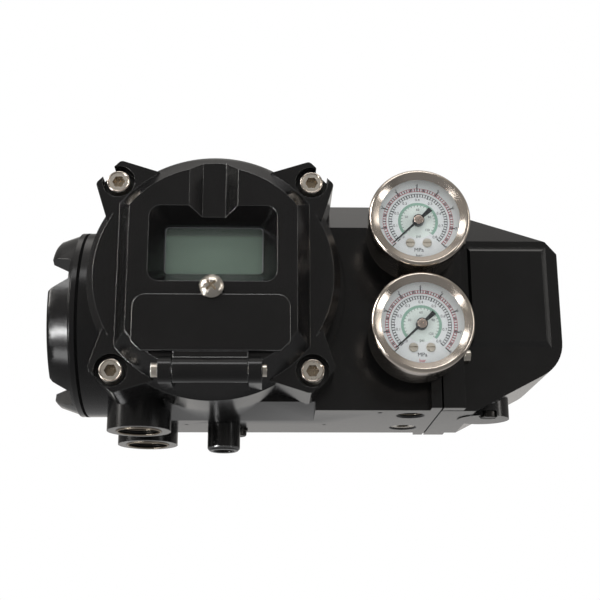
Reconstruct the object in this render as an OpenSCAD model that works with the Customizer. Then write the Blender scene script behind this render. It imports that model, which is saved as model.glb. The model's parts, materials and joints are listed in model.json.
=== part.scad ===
// Electro-pneumatic valve positioner: round display cover, terminal compartment,
// gauge manifold and pilot cover. Millimetres. X runs right, Y towards the
// actuator, Z up. The origin is on the feedback shaft, at the rear mounting face.

/* [Housing] */
// Mounting face to the joint of the main cover
split_depth = 76; // [72:1:86]
// Height of the rear mounting pad behind the castings
pad_h = 17; // [10:1:22]
// Width of the square mounting pad
pad_w = 76; // [70:1:84]
// How far the flat underside lies below the round body
body_lip = 0; // [0:0.5:6]
// Shaft axis up to the top of the manifold
body_rise = 46; // [42:1:54]
// Bevel along the upper front edge of the manifold
top_bevel = 16; // [8:1:20]
// Shaft axis to the joint between housing and manifold block
manifold_x = 76; // [70:1:78]
// Shaft axis to the joint between manifold block and pilot cover
seam_x = 99.5; // [97.5:0.5:106]
// Wall of the round body around its chamber
chamber_wall = 14; // [13:0.5:18]
// Thickness of the housing floor in front of the pad
floor_t = 7; // [5:1:12]
// Spacing of the rear fixing holes, both ways
mount_pitch = 50; // [40:1:56]
// Radius of the rear fixing holes, tapped M8
mount_hole_r = 3.4; // [2.5:0.1:4]
// Depth of the rear fixing holes
mount_hole_depth = 15; // [10:1:20]

/* [Main cover] */
// Radius of the round cover
cover_r = 55; // [50:0.5:61]
// Joint plane to the flange face
cover_skirt = 24; // [20:1:30]
// Bevel on the front edge of the cover
cover_edge = 3; // [1:0.5:4]
// Thickness of the cover's side wall
cover_wall = 6; // [4:0.5:7]
// Flange face to the raised front
plateau_rise = 10; // [8:0.5:13]
// Radius of the raised front at its upper and lower arcs
plateau_r = 45.5; // [43:0.5:48]
// Half width of the raised front
plateau_half_w = 36; // [34.5:0.5:38]
// Half width of the raised front at its foot
plateau_foot_half_w = 41.5; // [39:0.5:44]
// Round edge of the cover out to the cover screws
screw_out = 5.1; // [4.5:0.1:7]
// Radius of the pocket around each cover screw
pocket_r = 7.2; // [6:0.1:7.6]
// Half width of an ear at its tip
ear_tip_half = 7.6; // [7:0.1:9]
// Half width of an ear at its root
ear_root_half = 15.8; // [12:0.2:18]
// Cover screw radius, M6
cover_screw_r = 3; // [2.5:0.5:4]
// Cover screw head radius
cover_head_r = 5; // [4.5:0.25:5.5]
// Cover screw head height
cover_head_h = 6; // [5:0.5:7]

/* [Display] */
// Width of the display window
window_w = 43; // [36:1:46]
// Height of the display window
window_h = 22; // [18:1:24]
// Height of the window's middle above the shaft axis
window_z = 10.7; // [9:0.1:12]
// How far the recess flares around the window
recess_flare = 6; // [4:0.5:7]
// Depth of the recess
recess_depth = 9.5; // [8:0.5:11]
// Thickness of the window
window_t = 3; // [2:0.5:4]
// Width of the groove above the recess
groove_w = 21; // [16:1:24]
// Depth of the groove
groove_depth = 5.5; // [4:0.5:7]

/* [Button flap] */
// Width of the flap
flap_w = 66; // [60:1:68]
// Height of the flap
flap_h = 24.3; // [22:0.1:25]
// Thickness of the flap
flap_t = 2.6; // [2:0.1:3.2]
// Hinge axis below the shaft axis
hinge_drop = 45; // [44:0.5:46]
// Radius of the hinge barrel
barrel_r = 5.2; // [4.4:0.1:5.6]
// Length of the hinge barrel
barrel_len = 31; // [24:1:34]
// Radius of the hinge pin
hinge_pin_r = 1.5; // [1:0.1:2]
// Radius of a push button
button_r = 4; // [3:0.25:4.5]
// Pitch of the push buttons
button_pitch = 13; // [11:0.5:14]
// Travel of a push button
button_travel = 1.2; // [0.8:0.1:1.5]

/* [Terminal compartment] */
// Outer radius of the compartment
term_r = 43.4; // [41:0.2:44]
// Wall of the compartment
term_wall = 4.9; // [4:0.1:6]
// Round edge of the cover to the joint of the terminal cap
term_reach = 5.9; // [5:0.1:10]
// Compartment axis in front of the mounting face
term_y = 44.1; // [43.5:0.1:48]
// Compartment axis below the shaft axis
term_drop = 8.4; // [6:0.1:10]
// Length of the terminal cap outside the compartment
cap_len = 13; // [11:0.5:18]
// Radius of the cap's threaded spigot
spigot_r = 28; // [24:0.5:29]
// Length of the cap's threaded spigot
spigot_len = 9; // [6:0.5:10]
// Shaft axis to the conduit axes
conduit_x = 34.2; // [33:0.1:36]
// Conduit bore radius, G1/2 core
conduit_r = 9.3; // [8:0.1:10]
// Conduit boss radius
conduit_boss_r = 14.3; // [13:0.1:15]
// Conduit mouths below the shaft axis
conduit_drop = 61.8; // [59:0.1:66]
// Pitch of the two conduits
conduit_pitch = 39.4; // [38:0.1:42]

/* [Gauges] */
// Shaft axis to the gauge axes
gauge_x = 87.7; // [87:0.1:88.2]
// Upper gauge axis above the shaft axis
gauge_upper_z = 20.6; // [20:0.1:22]
// Pitch of the two gauges
gauge_pitch = 45.8; // [44.5:0.1:48]
// Bezel radius
bezel_r = 21.7; // [21:0.1:22.2]
// Depth of the gauge case
case_depth = 26.5; // [26:0.5:32]
// Bezel front to the face of the manifold block
gauge_reach = 40; // [38:0.5:46]
// Dial radius that shows inside the bezel
dial_view_r = 17.3; // [16:0.1:18]

/* [Pilot cover] */
// Pilot cover length
pilot_len = 56; // [52:1:64]
// Rise of the raised panel on its front
panel_rise = 2.6; // [1.5:0.1:4]
// Depth of the flange that stands in front of the castings
flange_rise = 6; // [5.5:0.5:8]
// Gasket thickness
gasket_t = 0.8; // [0.5:0.1:1.5]
// Radius of the boss under the pilot cover
boss_r = 11.8; // [10:0.2:13]
// Radius of the pilot spool
spool_r = 4; // [3:0.25:5]

/* [Ports] */
// Air port core radius, Rc 1/4
port_r = 5.75; // [4.5:0.05:6.5]
// Air port depth
port_depth = 13; // [10:0.5:16]
// Exhaust vent radius
vent_r = 7.6; // [6.5:0.1:9]
// Exhaust vent length below the housing
vent_len = 12.5; // [8:0.5:16]

/* [Feedback] */
// Feedback shaft radius
shaft_r = 5; // [4:0.25:6]
// Feedback shaft length behind the mounting face
shaft_reach = 22; // [18:1:30]
// Tooth module of the feedback gears
gear_m = 0.5; // [0.4:0.05:0.55]
// Teeth on the shaft gear
shaft_teeth = 48; // [40:4:52]
// Teeth on the potentiometer gear
pot_teeth = 16; // [16:2:20]

/* [Fits] */
// Radial gap of a running fit
run = 0.05; // [0.02:0.01:0.1]
// Gap between pieces that must not rub
gap = 0.3; // [0.2:0.05:0.5]

/* [Hidden] */
$fn = 96;
eps = 0.01;
past = 1;

// Planes across the depth, front negative
y_split = -split_depth;
y_flange = y_split - cover_skirt;
y_plateau = y_flange - plateau_rise;
y_pad = -pad_h;
y_floor = y_pad - floor_t;
body_drop = cover_r + body_lip;
chamber_r = cover_r - chamber_wall;
term_x = cover_r + term_reach;
cover_inner_r = cover_r - cover_wall;
y_ceiling = y_plateau + recess_depth + 2;
screw_at = (cover_r + screw_out) / sqrt(2);
screw_grip = 7;
ear_root = cover_r - 4.4;
ear_tip = cover_r + screw_out + 6.4;
ear_len = 16;
ear_round = 2.2;
ear_low = -(ear_tip + ear_tip_half) / sqrt(2);
ramp_x = 44.5;
ramp_run = 26;
pocket_depth = cover_head_h + 0.5;

// Seal in the joint of the main cover
seal_r = 1.2;
seal_ring_r = cover_inner_r + cover_wall / 2;

// Electronics stack behind the window
window_lip = 3;
y_window = y_ceiling + window_t;
display_t = 8;
board_t = 1.6;
y_board = y_window + gap + display_t;
board_r = cover_inner_r - 2;
spacer_at = (chamber_r + 3.5) / sqrt(2);
spacer_r = 2.8;
board_screw_r = 1.5;

// Button flap
flap_bottom_z = -hinge_drop + barrel_r + 2.8;
flap_top_z = flap_bottom_z + flap_h;
flap_screw_r = 2;
flap_screw_head_r = 5.1;
flap_screw_z = flap_top_z + 3;
flap_tab_r = flap_screw_head_r - 0.6;
flap_screw_depth = 3.5;
y_flap = y_plateau - gap;
y_hinge = y_plateau - 1.5;
lug_w = 5.4;
lug_r = barrel_r + 0.4;
lug_x = barrel_len / 2 + gap;
pin_head_r = 3;
pin_head_l = 3;
clip_l = 2;
button_z = (flap_bottom_z + flap_top_z) / 2;
button_flange_r = button_r + 1.2;
button_flange_t = 1.5;
button_pocket_depth = 4;
button_proud = 0.8;

// Terminal compartment
term_inner_r = term_r - term_wall;
term_back_x = 19;
term_front_wall = 5;
cap_seal_r = 1;
conduit_mid_y = -term_y + 3.3;
conduit_y = [conduit_mid_y - conduit_pitch / 2, conduit_mid_y + conduit_pitch / 2];
term_block_w = 44;
term_block_d = 30;
term_block_h = 14;
term_pitch = 5.2;
term_count = 8;

// Gauges, depth counted from the bezel front
y_bezel = y_split - gauge_reach;
case_r = bezel_r - 0.9;
case_t = 0.8;
lens_y = 1;
lens_t = 1.5;
pointer_y = 3.3;
dial_y = 5.8;
dial_t = 0.6;
plate_y = 8.6;
plate_t = 1;
movement_y = plate_y + plate_t + 0.4;
movement_t = 1.5;
tube_y = 13;
tube_w = 5;
arbor_r = 1;
gauge_m = 0.35;
pinion_teeth = 12;
sector_teeth = 72;
sector_z = -gauge_m * (pinion_teeth + sector_teeth) / 2;
sweep = 270;
sector_turn = sweep * pinion_teeth / sector_teeth;
zero_angle = 223;
dial_screw_x = 3.6;
dial_screw_z = -9.7;
dial_screw_r = 0.75;
post_r = 1.4;
socket_half = 6;
neck_r = socket_half * sqrt(2) + gap;
stem_r = 4.9;
stem_len = 9;

// Manifold and pilot cover
port_x = (manifold_x + seam_x) / 2;
port_y = [-63.2, -31.8];
body_flange_x = seam_x - 4.5;
pilot_x = seam_x + gasket_t;
pilot_flange_w = 9.5;
pilot_end = seam_x + pilot_len;
pilot_wall = 5;
pilot_screw_r = 2;
pilot_screw_head_r = 3.1;
pilot_screw_z = [23.4, -31];
flange_rows = [y_split - flange_rise / 2, y_pad + flange_rise / 2];
boss_x = seam_x + 22.5;
boss_y = y_split + 21;
am_screw_x = boss_x + 0.8;
am_screw_y = boss_y - 8.6;
am_seat_z = -body_drop + 1.9;
am_screw_r = 2.4;
am_head_r = 3.6;

// Feedback train
bush_r = shaft_r + 2.5;
shaft_end_r = shaft_r - 0.5;
gear_t = 6;
y_gear = y_floor - 14;
gear_gap = gear_m * (shaft_teeth + pot_teeth) / 2;
pot_shaft_r = 2;
pot_r = 9;
bracket_t = 1.5;
y_bracket = y_gear - bracket_t - 0.5;
bracket_post_r = 2.5;
bracket_post_x = gear_gap + 4.4;
pot_len = 13;
bracket_post_z = 19;
tooth_slack = 0.05;

black = [0.06, 0.06, 0.065];
steel = [0.75, 0.74, 0.72];

// Basic placed shapes
module block(lo, hi) translate(lo) cube(hi - lo);
module rod_x(x0, x1, y, z, r) translate([x0, y, z]) rotate([0, 90, 0]) cylinder(r = r, h = x1 - x0);
module rod_y(y0, y1, x, z, r) translate([x, y0, z]) rotate([-90, 0, 0]) cylinder(r = r, h = y1 - y0);
module rod_z(z0, z1, x, y, r) translate([x, y, z0]) cylinder(r = r, h = z1 - z0);
module turned_y() rotate([-90, 0, 0]) rotate_extrude() children();
module front_prism(y0, y1) translate([0, y1, 0]) rotate([90, 0, 0]) linear_extrude(y1 - y0) children();
module side_prism(x0, x1) translate([x0, 0, 0]) rotate([90, 0, 90]) linear_extrude(x1 - x0) children();
module corners(at) for (sx = [-1, 1], sz = [-1, 1]) translate([sx * at, 0, sz * at]) children();
module rounded(w, h, r) {
  square([w - 2 * r, h], center = true);
  square([w, h - 2 * r], center = true);
  for (sx = [-1, 1], sy = [-1, 1])
    translate([sx * (w / 2 - r), sy * (h / 2 - r)]) circle(r);
}

// Involute gear outline with tooth 0 on the first axis
pressure = 20;
function involute(a) = tan(a) * 180 / PI - a;
function polar(r, a) = [r * cos(a), r * sin(a)];
function tooth_half(n, m, r) =
  let (pitch_r = m * n / 2)
  90 / n - tooth_slack / pitch_r * 180 / PI + involute(pressure)
  - involute(acos(min(1, pitch_r * cos(pressure) / r)));
function tooth(n, m, at) =
  let (pitch_r = m * n / 2, tip = pitch_r + 0.9 * m, root = pitch_r - 1.2 * m)
  let (start = max(root, pitch_r * cos(pressure)), steps = 4)
  let (radii = [for (k = [0:steps]) start + (tip - start) * k / steps])
  concat(
    [polar(root, at - tooth_half(n, m, start))],
    [for (r = radii) polar(r, at - tooth_half(n, m, r))],
    [for (k = [steps:-1:0]) polar(radii[k], at + tooth_half(n, m, radii[k]))],
    [polar(root, at + tooth_half(n, m, start))]
  );
module gear_outline(n, m) polygon([for (i = [0:n - 1]) each tooth(n, m, 360 * i / n)]);

// Outline of the main cover: a disc with four ears on its diagonals
module ears(grow = 0, tips = true) {
  lean = atan((ear_root_half - ear_tip_half) / (ear_tip - ear_root));
  mid = ear_tip_half + ear_round * tan(lean) - ear_round / cos(lean);
  r = ear_round + grow;
  along = ear_tip - ear_round;
  for (a = [45:90:315])
    rotate(a) {
      polygon([
        [ear_root, -ear_root_half - grow], [along + r * sin(lean), -mid - r * cos(lean)],
        [ear_tip + grow, -mid], [ear_tip + grow, mid],
        [along + r * sin(lean), mid + r * cos(lean)], [ear_root, ear_root_half + grow]
      ]);
      if (tips) for (side = [-1, 1]) translate([along, side * mid]) circle(r);
    }
}
module cover_outline(grow = 0, tips = true) {
  circle(cover_r + grow);
  ears(grow, tips);
}

// Side profile of the housing and the manifold: flat underside, bevelled top front edge
module body_profile(inset = 0) {
  polygon([
    [y_pad - inset, -body_drop + inset], [y_split + inset, -body_drop + inset],
    [y_split + inset, body_rise - top_bevel - inset / 2],
    [y_split + top_bevel + inset / 2, body_rise - inset], [y_pad - inset, body_rise - inset]
  ]);
}

module terminal_cavity() {
  rod_x(-term_x - past, -term_x + spigot_len + 2, -term_y, -term_drop, spigot_r + 0.5);
  intersection() {
    rod_x(-term_x + spigot_len + 1, -term_back_x, -term_y, -term_drop, term_inner_r);
    block([-term_x, y_split + term_front_wall, -100], [0, -mount_hole_depth - 1, 100]);
  }
}

module chamber() {
  intersection() {
    rod_y(y_split - past, y_floor, 0, 0, chamber_r);
    block([-term_back_x + 5, y_split - past, -100], [100, 0, 100]);
  }
}

module housing() {
  color(black) difference() {
    union() {
      rod_y(y_split, y_pad, 0, 0, cover_r);
      front_prism(y_split, y_split + ear_len) ears(0, false);
      side_prism(ramp_x, manifold_x) body_profile();
      side_prism(30, ramp_x + eps) polygon([
        [y_split, ear_low + 1.2], [y_split + ramp_run, -body_drop], [y_pad, -body_drop], [y_pad, body_rise],
        [y_split + top_bevel, body_rise], [y_split, body_rise - top_bevel]
      ]);
      side_prism(-22, 31) polygon([
        [y_split, ear_low + 1.2], [y_split + ramp_run, -body_drop], [y_pad, -body_drop],
        [y_pad, ear_low + 32], [y_split, ear_low + 32]
      ]);
      rod_x(-term_x, -10, -term_y, -term_drop, term_r);
      for (y = conduit_y) rod_z(-conduit_drop, -term_drop - 20, -conduit_x, y, conduit_boss_r);
      front_prism(y_pad - past, 0) intersection() {
        square(pad_w, center = true);
        circle(pad_w * 0.62);
      }
    }
    front_prism(y_plateau - 20, y_split) cover_outline(0.6, false);
    chamber();
    terminal_cavity();
    for (y = conduit_y) rod_z(-conduit_drop - past, -term_drop - 24.5, -conduit_x, y, conduit_r);
    for (y = conduit_y) translate([-conduit_x, y, -conduit_drop - eps])
      cylinder(r1 = conduit_r + 1.2, r2 = conduit_r, h = 1.2);
    rod_y(y_floor - past, past, 0, 0, bush_r + eps);
    corners(screw_at) rod_y(y_split - past, y_split + screw_grip + 0.5, 0, 0, cover_screw_r + run);
    corners(mount_pitch / 2) rod_y(-mount_hole_depth, past, 0, 0, mount_hole_r);
    corners(spacer_at) rod_y(y_split - past, y_split + 8, 0, 0, board_screw_r + run);
    turned_y() translate([seal_ring_r, y_split + seal_r])
      square([2 * seal_r + 0.2, 2 * seal_r + 0.2], center = true);
    rod_z(-body_drop - past, -chamber_r + 6, vent_x, vent_y, vent_stem_r + run);
    rod_z(-body_drop - past, -body_drop + earth_len, earth_x, earth_y, earth_r + run);
    cover_relief();
    for (sz = [-1, 1])
      rod_y(y_floor - past, y_floor + 5, bracket_post_x, sz * bracket_post_z, board_screw_r);
    rod_z(-body_drop - past, -body_drop + 4, manifold_x - 2.6, y_split + 5.7, 1.1);
    for (x = [-14.4, 49.9]) rod_z(-body_drop - past, -body_drop + 2, x, y_split + 36.5, 0.8);
  }
}
// Fine groove around the cover on the front of the block
module cover_relief() {
  intersection() {
    turned_y() translate([cover_r + 2.6, y_split - past]) square([0.8, past + 0.8]);
    block([30, y_split - past, -cover_r], [manifold_x - 2, y_split + past, cover_r]);
  }
}

// Parts screwed into the underside
vent_x = 3;
vent_y = y_split + 38;
vent_stem_r = 4.9;
earth_x = 9.5;
earth_y = y_pad - 8;
earth_r = 2;
earth_len = 8;
module exhaust_vent() {
  z = -body_drop;
  color(black) translate([vent_x, vent_y, 0]) difference() {
    rotate_extrude() polygon([
      [0, z + 9], [vent_stem_r, z + 9], [vent_stem_r, z], [vent_r, z], [vent_r, z - vent_len + 1.2],
      [vent_r - 1.2, z - vent_len], [0, z - vent_len]
    ]);
    rod_z(z - vent_len - past, z - vent_len + 3, 0, 0, vent_r - 2.6);
    rod_z(z - vent_len, z + 10, 0, 0, 2.5);
  }
}
module earth_screw() {
  z = -body_drop;
  color(steel) translate([earth_x, earth_y, 0]) difference() {
    rotate_extrude() polygon([
      [0, z + earth_len - 1], [earth_r, z + earth_len - 1], [earth_r, z], [4.4, z], [4.4, z - 0.8],
      [3.8, z - 0.8], [3.8, z - 2.6], [3.2, z - 3.2], [0, z - 3.2]
    ]);
    block([-5, -0.5, z - 4], [5, 0.5, z - 2]);
  }
}

module manifold_block() {
  color(black) difference() {
    union() {
      side_prism(manifold_x, seam_x) body_profile();
      for (y = flange_rows)
        block([body_flange_x, y - flange_rise / 2 - eps, -body_drop],
              [seam_x, y + flange_rise / 2 + eps, body_rise - top_bevel + 3]);
    }
    for (z = gauge_z) rod_y(y_split - past, y_split + stem_len + 2, gauge_x, z, stem_r + run);
    for (y = port_y) {
      rod_z(-body_drop - past, -body_drop + port_depth, port_x, y, port_r);
      translate([port_x, y, -body_drop - eps])
        cylinder(r1 = port_r + 0.9, r2 = port_r, h = 0.9);
    }
    for (y = flange_rows, z = pilot_screw_z)
      rod_x(body_flange_x + 1, seam_x + past, y, z, pilot_screw_r + run);
  }
}
module port_plug() {
  z = -body_drop;
  color(steel) difference() {
    rod_z(z + 0.6, z + port_depth - 1, port_x, port_y[1], port_r - run);
    translate([port_x, port_y[1], z]) cylinder(r = 3.4, h = 5, $fn = 6);
  }
}

module main_cover() {
  color(black) difference() {
    union() {
      difference() {
        union() {
          turned_y() polygon([
            [0, y_split], [cover_r, y_split], [cover_r, y_flange + cover_edge],
            [cover_r - cover_edge, y_flange], [0, y_flange]
          ]);
          front_prism(y_flange, y_split) ears();
          raised_front();
        }
        rod_x(-lug_x, lug_x, y_hinge, -hinge_drop, barrel_r + gap);
      }
      for (side = [-1, 1]) hinge_lug(side);
    }
    turned_y() polygon([
      [0, y_split + past], [cover_inner_r, y_split + past], [cover_inner_r, y_flange + 7],
      [cover_inner_r - 8, y_ceiling], [0, y_ceiling]
    ]);
    corners(screw_at) {
      rod_y(y_plateau, y_flange + pocket_depth, 0, 0, pocket_r);
      rod_y(y_plateau, y_split + past, 0, 0, cover_screw_r + 0.3);
    }
    display_recess();
    top_groove();
    front_prism(y_plateau - past, y_plateau + button_pocket_depth)
      translate([0, button_z]) rounded(4 * button_pitch + 4, 2 * button_r + 6, 3);
    for (i = [0:3]) rod_y(y_plateau, y_ceiling + past, button_x(i), button_z, button_r + run);
    rod_y(y_plateau - past, y_plateau + flap_screw_depth + 1, 0, flap_screw_z, flap_screw_r + 0.6);
    rod_x(-50, 50, y_hinge, -hinge_drop, hinge_pin_r + run);
  }
}
module raised_front() {
  intersection() {
    turned_y() polygon([
      [0, y_flange + cover_edge], [cover_r - 0.5, y_flange + cover_edge],
      [plateau_r, y_plateau], [0, y_plateau]
    ]);
    translate([0, 0, -cover_r]) linear_extrude(2 * cover_r) polygon([
      [-plateau_side(y_flange + cover_edge), y_flange + cover_edge],
      [plateau_side(y_flange + cover_edge), y_flange + cover_edge],
      [plateau_half_w, y_plateau], [-plateau_half_w, y_plateau]
    ]);
  }
}
function plateau_side(y) =
  plateau_half_w + (plateau_foot_half_w - plateau_half_w) * (y - y_plateau) / plateau_rise;
function button_x(i) = (i - 1.5) * button_pitch;
module hinge_lug(side) {
  x0 = side > 0 ? lug_x : -lug_x - lug_w;
  rod_x(x0, x0 + lug_w, y_hinge, -hinge_drop, lug_r);
  block([x0, y_hinge, -hinge_drop - lug_r], [x0 + lug_w, y_flange + 1, -hinge_drop + lug_r]);
}
module display_recess() {
  flare_w = window_w + 2 * recess_flare;
  flare_h = window_h + 2 * recess_flare;
  hull() {
    translate([0, 0, window_z]) recess_slice(flare_w, flare_h, 5, y_plateau - eps);
    translate([0, 0, window_z]) recess_slice(window_w, window_h, 2, y_plateau + recess_depth);
  }
  front_prism(y_plateau, y_ceiling + past) translate([0, window_z]) rounded(window_w, window_h, 2);
}
module recess_slice(w, h, r, y) {
  for (sx = [-1, 1], sz = [-1, 1])
    rod_y(y - eps, y, sx * (w / 2 - r), sz * (h / 2 - r), r, $fn = 32);
}
module top_groove() {
  floor_half = groove_w / 2 - groove_depth;
  translate([0, 0, window_z + window_h / 2]) linear_extrude(cover_r) polygon([
    [-groove_w / 2 - past, y_plateau - past], [groove_w / 2 + past, y_plateau - past],
    [floor_half, y_plateau + groove_depth], [-floor_half, y_plateau + groove_depth]
  ]);
}
module main_cover_seal() {
  color("dimgray") turned_y() translate([seal_ring_r, y_split + seal_r]) circle(seal_r, $fn = 32);
}
module cover_screws() {
  top = y_flange + pocket_depth - cover_head_h;
  color(steel) corners(screw_at) difference() {
    union() {
      rod_y(top, top + cover_head_h, 0, 0, cover_head_r);
      rod_y(top, y_split + screw_grip, 0, 0, cover_screw_r);
    }
    translate([0, top - past, 0]) rotate([-90, 0, 0]) cylinder(r = 2.88, h = past + 3, $fn = 6);
  }
}

module display_window() {
  color([0.6, 0.7, 0.65, 0.5]) front_prism(y_ceiling, y_window)
    translate([0, window_z]) rounded(window_w + 2 * window_lip, window_h + 2 * window_lip, 2);
}
module display_module() {
  w = window_w + 4;
  h = window_h + 5;
  color([0.45, 0.52, 0.46]) front_prism(y_window + gap, y_board)
    translate([0, window_z]) square([w, h], center = true);
}
module main_board() {
  color("darkgreen") difference() {
    rod_y(y_board, y_board + board_t, 0, 0, board_r);
    corners(spacer_at) rod_y(y_board - past, y_board + board_t + past, 0, 0, board_screw_r + 0.1);
  }
}
module board_spacers() {
  color(steel) corners(spacer_at) difference() {
    rod_y(y_board + board_t, y_split, 0, 0, spacer_r);
    rod_y(y_board, y_split + past, 0, 0, board_screw_r + run);
  }
}
module board_screws() {
  color(steel) corners(spacer_at) {
    rod_y(y_board - 1.8, y_board, 0, 0, 2.6);
    rod_y(y_board - eps, y_split + 6, 0, 0, board_screw_r);
  }
}
y_switch = y_ceiling + gap + button_flange_t + button_travel + gap;
module key_switches() {
  color("gray") for (i = [0:3]) {
    front_prism(y_board - 3.5, y_board) translate([button_x(i), button_z]) square(6, center = true);
    rod_y(y_switch, y_board - 3.4, button_x(i), button_z, 1.7);
  }
}
module push_button(i) {
  color([0.2, 0.2, 0.2]) {
    rod_y(y_plateau + button_proud, y_ceiling + gap + eps, button_x(i), button_z, button_r);
    rod_y(y_ceiling + gap, y_ceiling + gap + button_flange_t, button_x(i), button_z, button_flange_r);
  }
}
module button_1() push_button(0);
module button_2() push_button(1);
module button_3() push_button(2);
module button_4() push_button(3);

module button_cover() {
  color(black) difference() {
    union() {
      front_prism(y_flap - flap_t, y_flap) {
        flap_outline();
        translate([0, flap_screw_z]) circle(flap_tab_r);
        translate([0, flap_top_z]) square([2 * flap_tab_r, 6], center = true);
      }
      front_prism(y_flap - flap_t + 0.8, y_flap)
        translate([-barrel_len / 2, -hinge_drop]) square([barrel_len, flap_bottom_z + hinge_drop + 2]);
      rod_x(-barrel_len / 2, barrel_len / 2, y_hinge, -hinge_drop, barrel_r);
    }
    rod_x(-barrel_len, barrel_len, y_hinge, -hinge_drop, hinge_pin_r + run);
    rod_y(y_flap - flap_t - past, y_flap + past, 0, flap_screw_z, flap_screw_r + run);
  }
}
module flap_outline() {
  nick = 4;
  intersection() {
    translate([0, flap_top_z - flap_h]) rounded(flap_w, 2 * flap_h, 5.5);
    polygon([
      [-flap_w / 2, flap_top_z], [-flap_w / 2, flap_bottom_z + nick], [-flap_w / 2 + nick, flap_bottom_z],
      [flap_w / 2 - nick, flap_bottom_z], [flap_w / 2, flap_bottom_z + nick], [flap_w / 2, flap_top_z]
    ]);
  }
}
module button_cover_screw() {
  head = y_flap - flap_t;
  color(steel) difference() {
    union() {
      turned_at(0, flap_screw_z) polygon([
        [0, head - 3.2], [2.2, head - 3.1], [3.8, head - 2.5], [flap_screw_head_r, head - 1.3],
        [flap_screw_head_r, head - 0.1], [0, head - 0.1]
      ]);
      rod_y(head - 0.2, y_plateau + flap_screw_depth, 0, flap_screw_z, flap_screw_r);
    }
    for (a = [45, 135])
      translate([0, head, flap_screw_z]) rotate([0, a, 0]) block([-2.6, -4, -0.5], [2.6, -1.8, 0.5]);
  }
}
module turned_at(x, z) translate([x, 0, z]) turned_y() children();
module hinge_pin() {
  x = lug_x + lug_w;
  color(steel) {
    rod_x(-x - 0.1, x + clip_l, y_hinge, -hinge_drop, hinge_pin_r);
    rod_x(-x - 0.1 - pin_head_l, -x - 0.1, y_hinge, -hinge_drop, pin_head_r);
  }
}
module hinge_pin_clip() {
  x = lug_x + lug_w + 0.1;
  color(steel) difference() {
    rod_x(x, x + clip_l, y_hinge, -hinge_drop, pin_head_r - 0.3);
    rod_x(x - past, x + clip_l + past, y_hinge, -hinge_drop, hinge_pin_r + 0.02);
  }
}

// Terminal compartment pieces
module terminal_cap() {
  x = -term_x - gap;
  end = x - cap_len;
  crown_r = term_r - 4;
  color(black) difference() {
    translate([0, -term_y, -term_drop]) rotate([0, 90, 0]) rotate_extrude() polygon([
      [0, end], [crown_r - 1.5, end], [crown_r, end + 1.5],
      [term_r - 1, x - 3], [term_r, x - 2.4], [term_r, x],
      [spigot_r, x], [spigot_r, x + spigot_len], [spigot_r - 4, x + spigot_len],
      [spigot_r - 4, x - 1], [0, x - 1]
    ]);
    translate([0, -term_y, -term_drop]) rotate([0, 90, 0]) rotate_extrude() polygon([
      [0, end - past], [crown_r - 5, end - past], [crown_r - 5, end],
      [crown_r - 8, x - 3.6], [0, x - 3.6]
    ]);
    for (a = [45:90:315])
      translate([0, -term_y, -term_drop]) rotate([a + 22.5, 0, 0]) cap_notch(end, x);
    translate([0, -term_y, -term_drop]) rotate([0, 90, 0]) rotate_extrude()
      translate([spigot_r, x + 1.4]) square(2 * cap_seal_r, center = true);
  }
}
module cap_notch(end, x) {
  notch_half = 7;
  floor_x = x - 4;
  linear_extrude(term_r + past) polygon([
    [end - past, -notch_half - 2.5], [floor_x, -notch_half + 1.5],
    [floor_x, notch_half - 1.5], [end - past, notch_half + 2.5]
  ]);
}
module terminal_cap_seal() {
  x = -term_x - gap;
  color("dimgray") translate([0, -term_y, -term_drop]) rotate([0, 90, 0]) rotate_extrude()
    translate([spigot_r - 0.4, x + 1.4]) circle(0.55, $fn = 32);
}
module terminal_block() {
  x = -term_back_x;
  z = -term_drop + 4;
  color("seagreen") difference() {
    block([x - term_block_h, -term_y - term_block_d / 2, z - term_block_w / 2],
          [x, -term_y + term_block_d / 2, z + term_block_w / 2]);
    for (i = [0:term_count - 1])
      rod_x(x - term_block_h - past, x - 4, -term_y - 6, term_z(i), 1.6 + run);
    for (i = [0:term_count - 1])
      block([x - term_block_h + 5, -term_y - 16, term_z(i) - 1.8], [x - 5, -term_y - 9, term_z(i) + 1.8]);
  }
}
function term_z(i) = -term_drop + 4 + (i - (term_count - 1) / 2) * term_pitch;
module terminal_screws() {
  x = -term_back_x - term_block_h;
  color(steel) for (i = [0:term_count - 1]) difference() {
    rod_x(x + 0.6, x + 9, -term_y - 6, term_z(i), 1.6);
    block([x, -term_y - 9, term_z(i) - 0.3], [x + 1.4, -term_y - 3, term_z(i) + 0.3]);
  }
}

// Pilot cover and what it holds
ridge_z = 23.7;
slope_start = pilot_x + 15;
slope_lean = 27.3;
corner_r = 17;
corner_x = pilot_end - corner_r;
corner_z = -body_drop + ((corner_x - slope_start) * sin(slope_lean) + corner_r) / cos(slope_lean);
crease_z = -34;
crease_back = 1.5;
function slope_foot(inset, r) =
  corner_x + r * sin(slope_lean) - (corner_z - r * cos(slope_lean) + body_drop - inset) / tan(slope_lean);
module pilot_outline(inset = 0) {
  r = corner_r - inset;
  polygon(concat(
    [[pilot_x - (inset > 0 ? past : 0), -body_drop + inset], [slope_foot(inset, r), -body_drop + inset]],
    [for (k = [0:8]) [corner_x, corner_z] + polar(r, (slope_lean - 90) * (8 - k) / 8)],
    [
      [pilot_end - inset, 17.5 - inset / 2], [pilot_end - 5 - inset / 2, 23.4 - inset],
      [pilot_x - (inset > 0 ? past : 0), body_rise - inset]
    ]
  ));
}
module pilot_profile(inset = 0) {
  polygon([
    [y_pad - inset, -body_drop - past], [y_split + crease_back + inset, -body_drop - past],
    [y_split + inset, crease_z], [y_split + inset, ridge_z - inset / 2],
    [y_split + top_bevel + inset, body_rise - inset / 2], [y_pad - inset, body_rise - inset / 2]
  ]);
}
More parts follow.
